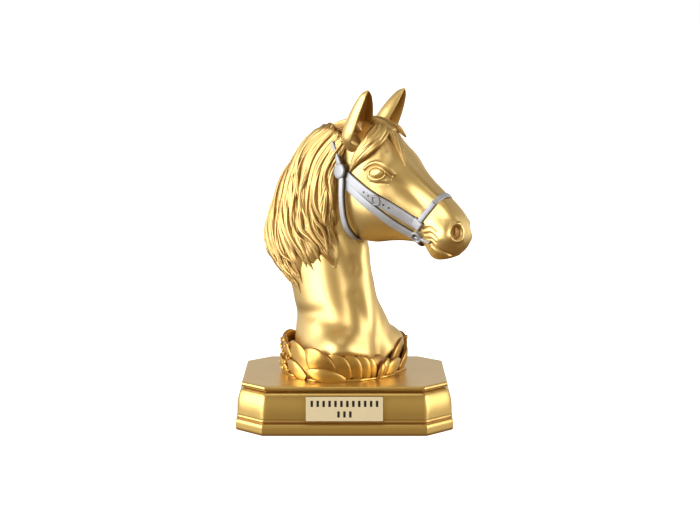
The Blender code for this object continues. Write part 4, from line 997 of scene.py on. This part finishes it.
for side in (-1.0, 1.0):
    for line, half_width in zip((CHEEK_STRAP, JAW_STRAP, NOSE_STRAP), STRAP_HALF_WIDTHS):
        add_strap(*over_head(*along_keys(line, 72).T, 0.25, side), half_width)
    disc, crown = np.array([DISC_PLACE, CROWN_TOP]) * (1, -side, 1)
    out = unit(np.array([-0.25, side, 0.1]))
    path = crown + (disc - crown) * np.linspace(0, 1, 24)[:, None]
    add_strap(path, np.repeat(out[None], 24, 0), np.linspace(0.9, 2.1, 24))
    silver_forms.append(round_stack(disc, out, [(share * DISC_RADIUS, up) for share, up in BUTTON]))
    line_forms.append(round_stack(disc, out, [(DISC_RADIUS + LINE_WIDTH, up) for up in (-1.2, 1.3, 1.6)]))
    middle, out = head_spot(KEEPER_PLACE, 0.4, side)
    path = middle + np.linspace(-KEEPER_HALF, KEEPER_HALF, 12)[:, None] * np.array(KEEPER_WAY)
    add_strap(path, np.repeat(out[None], 12, 0), KEEPER_HALF, 1.5)
    bit = over_head(*along_keys(BIT_LINE, 20).T, 0.5, side)
    silver_forms.append(swept(*bit, np.linspace(1.3, 0.7, 20), 1.0, 20))
    ring_forms.append(wire_ring(*head_spot(RING_PLACE, 0.7, side), RING_RADIUS, RING_WIRE, 1.5 * RING_WIRE))
    # The second ring is painted shadow: a dark ring just under the buckle, on the strap.
    for lift, wire, deep, forms in ((0.25, 0.45, 0.5, ring_forms), (0.05, 0.65, 0.4, shadow_forms)):
        middle, out = head_spot(BUCKLE_PLACE, STRAP_STAND + lift, side)
        forms.append(wire_ring(middle, out, BUCKLE_RADIUS, wire, deep, 10, 40, 0.6, 0.95))
    for place in STRAP_HOLES:
        hole_forms.append(round_stack(*head_spot(place, STRAP_STAND + 0.2, side), HOLE_PROFILE, 16))
add_strap(*throat_band(160), THROAT_HALF_WIDTH)
for end, through, half_width in CROSSINGS:
    add_strap(*crossing_strap(end, through), half_width)

silver_paint = mottled_paint("halter_silver_paint", HALTER_SILVERS, (0.38, 0.55), 0.35, 420.0, detail=4.0,
                             lift=0.4, deep=0.00008)
line_and_shadow_paint = plain_finish("halter_dark_line_and_shadow", (0.055, 0.035, 0.02), 0.0, 0.6, 300.0, 0.3)
cast_bust("halter_silver", silver_forms, silver_paint, rings=ring_forms)
cast_bust("halter_dark_lines", line_forms, line_and_shadow_paint)
cast_bust("halter_holes_and_shadow", hole_forms, line_and_shadow_paint, rings=shadow_forms)

# Garland
# A ring of leaves at the foot of the casting that hides its seat. They leave the tie at the breast
# on both sides and lean back, broad and cupped, in a deeper gold than the neck.

COLLAR_HEIGHT, FLANGE_REACH = 15.0, 2.6
LEAF_HALF_DEPTH, LEAF_TILT, LEAN_IN = 1.6, 0.16, 0.07
# Each leaf: degrees from the breast at its base and tip, its heights there, half-width and stand
RIGHT_LEAVES = (
    (-108, -146, 3.5, 20.0, 7.4, 0.0), (-134, -170, 3.0, 20.5, 7.2, 0.3), (-158, -192, 3.0, 20.0, 7.0, 0.0),
    (-80, -118, 3.5, 19.0, 7.8, 0.2), (-57, -88, 3.0, 17.5, 7.2, 0.4), (-43, -62, 1.5, 15.8, 5.8, 0.5),
    (-31, -46, 1.5, 15.2, 5.0, 0.6), (-21, -33, 1.5, 14.8, 4.4, 0.7), (-13, -22, 2.0, 13.5, 3.2, 0.9),
    (-84, -116, 0.8, 8.5, 4.6, 1.4), (-46, -84, 0.6, 6.0, 4.4, 1.8), (-116, -150, 0.8, 8.5, 4.6, 1.2),
    (-152, -184, 0.8, 8.5, 4.6, 1.2), (-8, -1, 1.0, 9.5, 2.2, 1.6), (-3, 9, 1.0, 11.0, 3.2, 0.6),
)
LEFT_LEAVES = (
    (130, 160, 3.0, 20.0, 7.2, 0.0), (104, 136, 3.0, 19.0, 7.2, 0.2), (78, 108, 3.0, 18.5, 7.0, 0.3),
    (50, 76, 3.0, 20.0, 6.0, 0.2), (18, 48, 6.0, 19.5, 4.8, 0.2), (34, 62, 2.0, 12.5, 5.0, 0.9),
    (2, 34, 3.0, 8.0, 4.4, 1.2), (64, 96, 0.8, 8.5, 4.6, 1.2), (100, 134, 0.8, 8.5, 4.6, 1.2),
    (148, 172, 2.0, 19.5, 6.6, 0.3), (136, 164, 0.8, 8.5, 4.6, 1.2),
)
# Each curl: degrees from the breast, height, radius and the way that it winds
CURLS = (
    (-116, 17.0, 2.4, 1), (-112, 11.5, 2.2, -1), (-119, 7.0, 2.2, 1), (-124, 13.0, 2.6, -1),
    (-126, 19.5, 2.2, 1), (-130, 8.5, 2.2, -1), (-136, 14.5, 2.4, 1), (-110, 4.5, 1.8, -1),
    (-124, 3.2, 1.8, 1), (-140, 19.0, 2.0, -1), (-138, 5.0, 2.0, 1), (58, 19.0, 2.0, -1),
)
CURL_STAND = 3.4
# The second gold is painted shade for the garland's gaps and recesses.
LEAF_GOLD, LEAF_SHADED_GOLD = (0.72, 0.43, 0.08), (0.28, 0.11, 0.012)


def round_base(turn, radius, z):
    """Points at a turn and a reach round the bust's own axis."""
    return np.stack([radius * np.cos(turn), radius * np.sin(turn), z + 0 * turn], -1)


def collar_grid(columns=240):
    """The bed that the leaves lie on: a profile of reach and height carried round it, with a flange at
    its foot. Painted shade darkens the bed behind the leaves and spares the flange."""
    turn = np.linspace(0, 2 * math.pi, columns, endpoint=False)
    bed = bed_reach(turn)
    wave = 0.5 * np.sin(turn * 9) + 0.3 * np.sin(turn * 23 + 1)
    top, foot = COLLAR_HEIGHT, FLANGE_REACH
    profile = ((foot - 0.5, 0.0), (foot, 0.15), (foot, 0.9), (foot - 0.5, 1.4), (foot - 1.4, 1.5), (0.4, 4),
               (0.0, 6.5), (-0.6, 9), (-2.0, top - 3), (-4, top - 1), (-8, top - 0.6), (-12, top - 2))
    rows = [round_base(turn, bed + out + wave * (z < 2), z) for out, z in profile]
    # painted shade by row: a little at the flange's foot, none on the flange, more on the bed behind the
    # leaves
    dark = np.array([0.2, 0, 0, 0, 0.5, 0.7, 0.7, 0.7, 0.7, 0.6, 0.5, 0.5])[:, None]
    return np.stack(rows), np.broadcast_to(dark, (len(profile), columns))


def leaf(base_turn, tip_turn, base_z, tip_z, half_width, stand, rows=48, columns=32):
    """A broad leaf from its base to its pointed tip, which curls out a little: a flat oval section,
    tilted so that the edge away from the breast lies over the next leaf, with faint side veins."""
    t = np.linspace(0, 1, rows)
    turn = np.radians(base_turn + (tip_turn - base_turn) * t)
    z = base_z + (tip_z - base_z) * (0.35 * t + 0.65 * np.sin(t * math.pi / 2))
    bow = 0.6 + 1.4 * np.sin(math.pi * t) + 1.3 * t**3 + stand
    path = round_base(turn, bed_reach(turn) - LEAN_IN * z + bow, z)
    out = unit(np.stack([np.cos(turn), np.sin(turn), 0.15 + 0 * turn], -1))
    way = unit(np.gradient(path, axis=0))
    out = unit(out + LEAF_TILT * np.cross(way, out) * np.sign(tip_turn - base_turn))
    taper = flow(((0, 0.5), (0.2, 0.85), (0.42, 1), (0.64, 0.86), (0.84, 0.48), (1, 0.02)), t)
    grid, _ = swept(path, out, half_width * taper, LEAF_HALF_DEPTH * (0.25 + 0.75 * taper), columns, 0.75)
    turns = np.linspace(0, 2 * math.pi, columns, endpoint=False)
    front = np.clip(np.sin(turns), 0, 1)[None]
    veins = np.sin(16 * t[:, None] + 5 * np.abs(np.cos(turns))[None]) * front * taper[:, None]
    grid = grid + (0.04 * veins)[..., None] * out[:, None]
    # painted shade along the leaf's sides and at its base, where it meets the next leaf and the bed
    edge = np.abs(np.cos(turns))[None] ** 8 * 0.9 + 0.3 * (1 - ease(t, 0.0, 0.35))[:, None]
    return grid, np.clip(edge, 0, 1)


def curl(turn, z, radius, spin, rows=30, columns=16):
    """A small curled leaf end: a thick band wound in a spiral that tightens to its middle."""
    t = np.linspace(0, 1, rows)
    wound = spin * 4.2 * t
    reach = radius * (1 - 0.72 * t)
    middle = bed_reach(np.radians(turn)) - LEAN_IN * z + CURL_STAND
    beside = reach * np.cos(wound) / middle
    path = round_base(np.radians(turn) + beside, middle + 0.8 * t, z + reach * np.sin(wound))
    out = unit(path * np.array([1.0, 1.0, 0.0]))
    grid, _ = swept(path, out, 0.75 - 0.3 * t, 1.5 - 0.4 * t, columns)
    # painted shade along the curl's sides
    edge = 0.55 * np.abs(np.cos(np.linspace(0, 2 * math.pi, columns))) ** 4
    return grid, np.broadcast_to(edge, (rows, columns))


leaf_paint = gold_paint("leaf_gold_paint", LEAF_GOLD, LEAF_SHADED_GOLD, 0.30)
leaves = [collar_grid()]
leaves += [leaf(*row) for row in RIGHT_LEAVES + LEFT_LEAVES]
leaves += [curl(*row) for row in CURLS]
cast_bust("garland", leaves, leaf_paint)

# Floor and lights
# A plain white floor that runs out of sight, a soft light on each side and one over the top, and a
# pale surround, as in a catalogue photograph.

FLOOR_REACH = 30.0
SIDE_WHITE, FRONT_DIM = (0.9, 0.88, 0.85, 1), (0.44, 0.37, 0.27, 1)
BACK_WHITE, TOP_DIM = (0.70, 0.68, 0.65, 1), (0.24, 0.18, 0.11, 1)
TABLE_BROWN = (0.17, 0.09, 0.03, 1)
# Each light: its place, the height that it faces, its width and height, and its power in watts
LIGHTS = (
    ("left_light", (-1.0, -0.40, 0.35), 0.10, 1.1, 0.9, 15),
    ("right_light", (1.05, -0.35, 0.35), 0.10, 0.7, 0.9, 7),
    ("top_light", (-0.1, -0.3, 1.2), 0.10, 0.7, 0.6, 1.5),
)


def white_floor():
    """A level square with a matt white surface, faintly mottled."""
    mesh = bpy.data.meshes.new("floor")
    corners = [(x * FLOOR_REACH, y * FLOOR_REACH, 0) for x, y in ((-1, -1), (1, -1), (1, 1), (-1, 1))]
    mesh.from_pydata(corners, [], [(0, 1, 2, 3)])
    finish = plain_finish("white_floor", (0.94, 0.94, 0.94), 0.0, 0.6, 3.0, 0.005)
    shader = finish.node_tree.nodes["Principled BSDF"]
    shader.inputs["Emission Color"].default_value = (1, 1, 1, 1)
    shader.inputs["Emission Strength"].default_value = 1.0
    mesh.materials.append(finish)
    floor = bpy.data.objects.new("floor", mesh)
    floor.visible_glossy = False
    floor.visible_diffuse = False
    bpy.context.scene.collection.objects.link(floor)


def soft_light(name, place, target, width, height, power):
    """A rectangular soft light at a place, turned to face the trophy's axis at the target's height."""
    light = bpy.data.lights.new(name, "AREA")
    light.shape = "RECTANGLE"
    light.size, light.size_y, light.energy = width, height, power
    lamp = bpy.data.objects.new(name, light)
    lamp.location = place
    away = np.array(place, float) - (0, 0, target)
    flat = math.hypot(away[0], away[1])
    lamp.rotation_euler = (math.atan2(flat, away[2]), 0, math.atan2(away[0], -away[1]))
    bpy.context.scene.collection.objects.link(lamp)


def studio_surround():
    """What the gold mirrors: white panels at both sides and behind, a darker front and top, and a
    warm brown from below the table's level. The camera itself sees white."""
    world = bpy.data.worlds.new("surround")
    world.use_nodes = True
    node = node_maker(world.node_tree)
    way = node("ShaderNodeSeparateXYZ", [(0, node("ShaderNodeTexCoord").outputs["Generated"])])
    sideways = node("ShaderNodeMath", [(0, way.outputs["X"])], operation="ABSOLUTE")
    before = []
    for source, low, high, colour in (
        (sideways.outputs[0], 0.35, 0.95, SIDE_WHITE), (way.outputs["Y"], 0.1, 0.8, BACK_WHITE),
        (way.outputs["Z"], 0.30, 0.75, TOP_DIM), (way.outputs["Z"], -0.05, -0.45, TABLE_BROWN),
    ):
        share = node("ShaderNodeMapRange", [("Value", source)], interpolation_type="SMOOTHSTEP",
                     **{"From Min": low, "From Max": high})
        mixed = node("ShaderNodeMixRGB", [("Fac", share.outputs["Result"])] + before,
                     Color1=FRONT_DIM, Color2=colour)
        before = [("Color1", mixed.outputs["Color"])]
    camera_ray = node("ShaderNodeLightPath").outputs["Is Camera Ray"]
    seen = node("ShaderNodeMixRGB", [("Fac", camera_ray)] + before, Color2=(1, 1, 1, 1))
    background = world.node_tree.nodes["Background"].inputs["Color"]
    world.node_tree.links.new(seen.outputs["Color"], background)
    bpy.context.scene.world = world


white_floor()
studio_surround()
for row in LIGHTS:
    soft_light(*row)
bpy.context.scene.view_settings.view_transform = "Standard"

# Camera
# The photograph's own place and angle: about a metre in front, a little above, looking slightly down.

CAMERA_PLACE, CAMERA_DOWN = (0.0032, -1.016, 0.241), 8.15
LENS, SENSOR = 88.71, 36.0

camera_data = bpy.data.cameras.new("camera")
camera_data.lens, camera_data.sensor_width = LENS, SENSOR
camera = bpy.data.objects.new("camera", camera_data)
camera.location = CAMERA_PLACE
camera.rotation_euler = (math.radians(90 - CAMERA_DOWN), 0, 0)
bpy.context.scene.collection.objects.link(camera)
bpy.context.scene.camera = camera
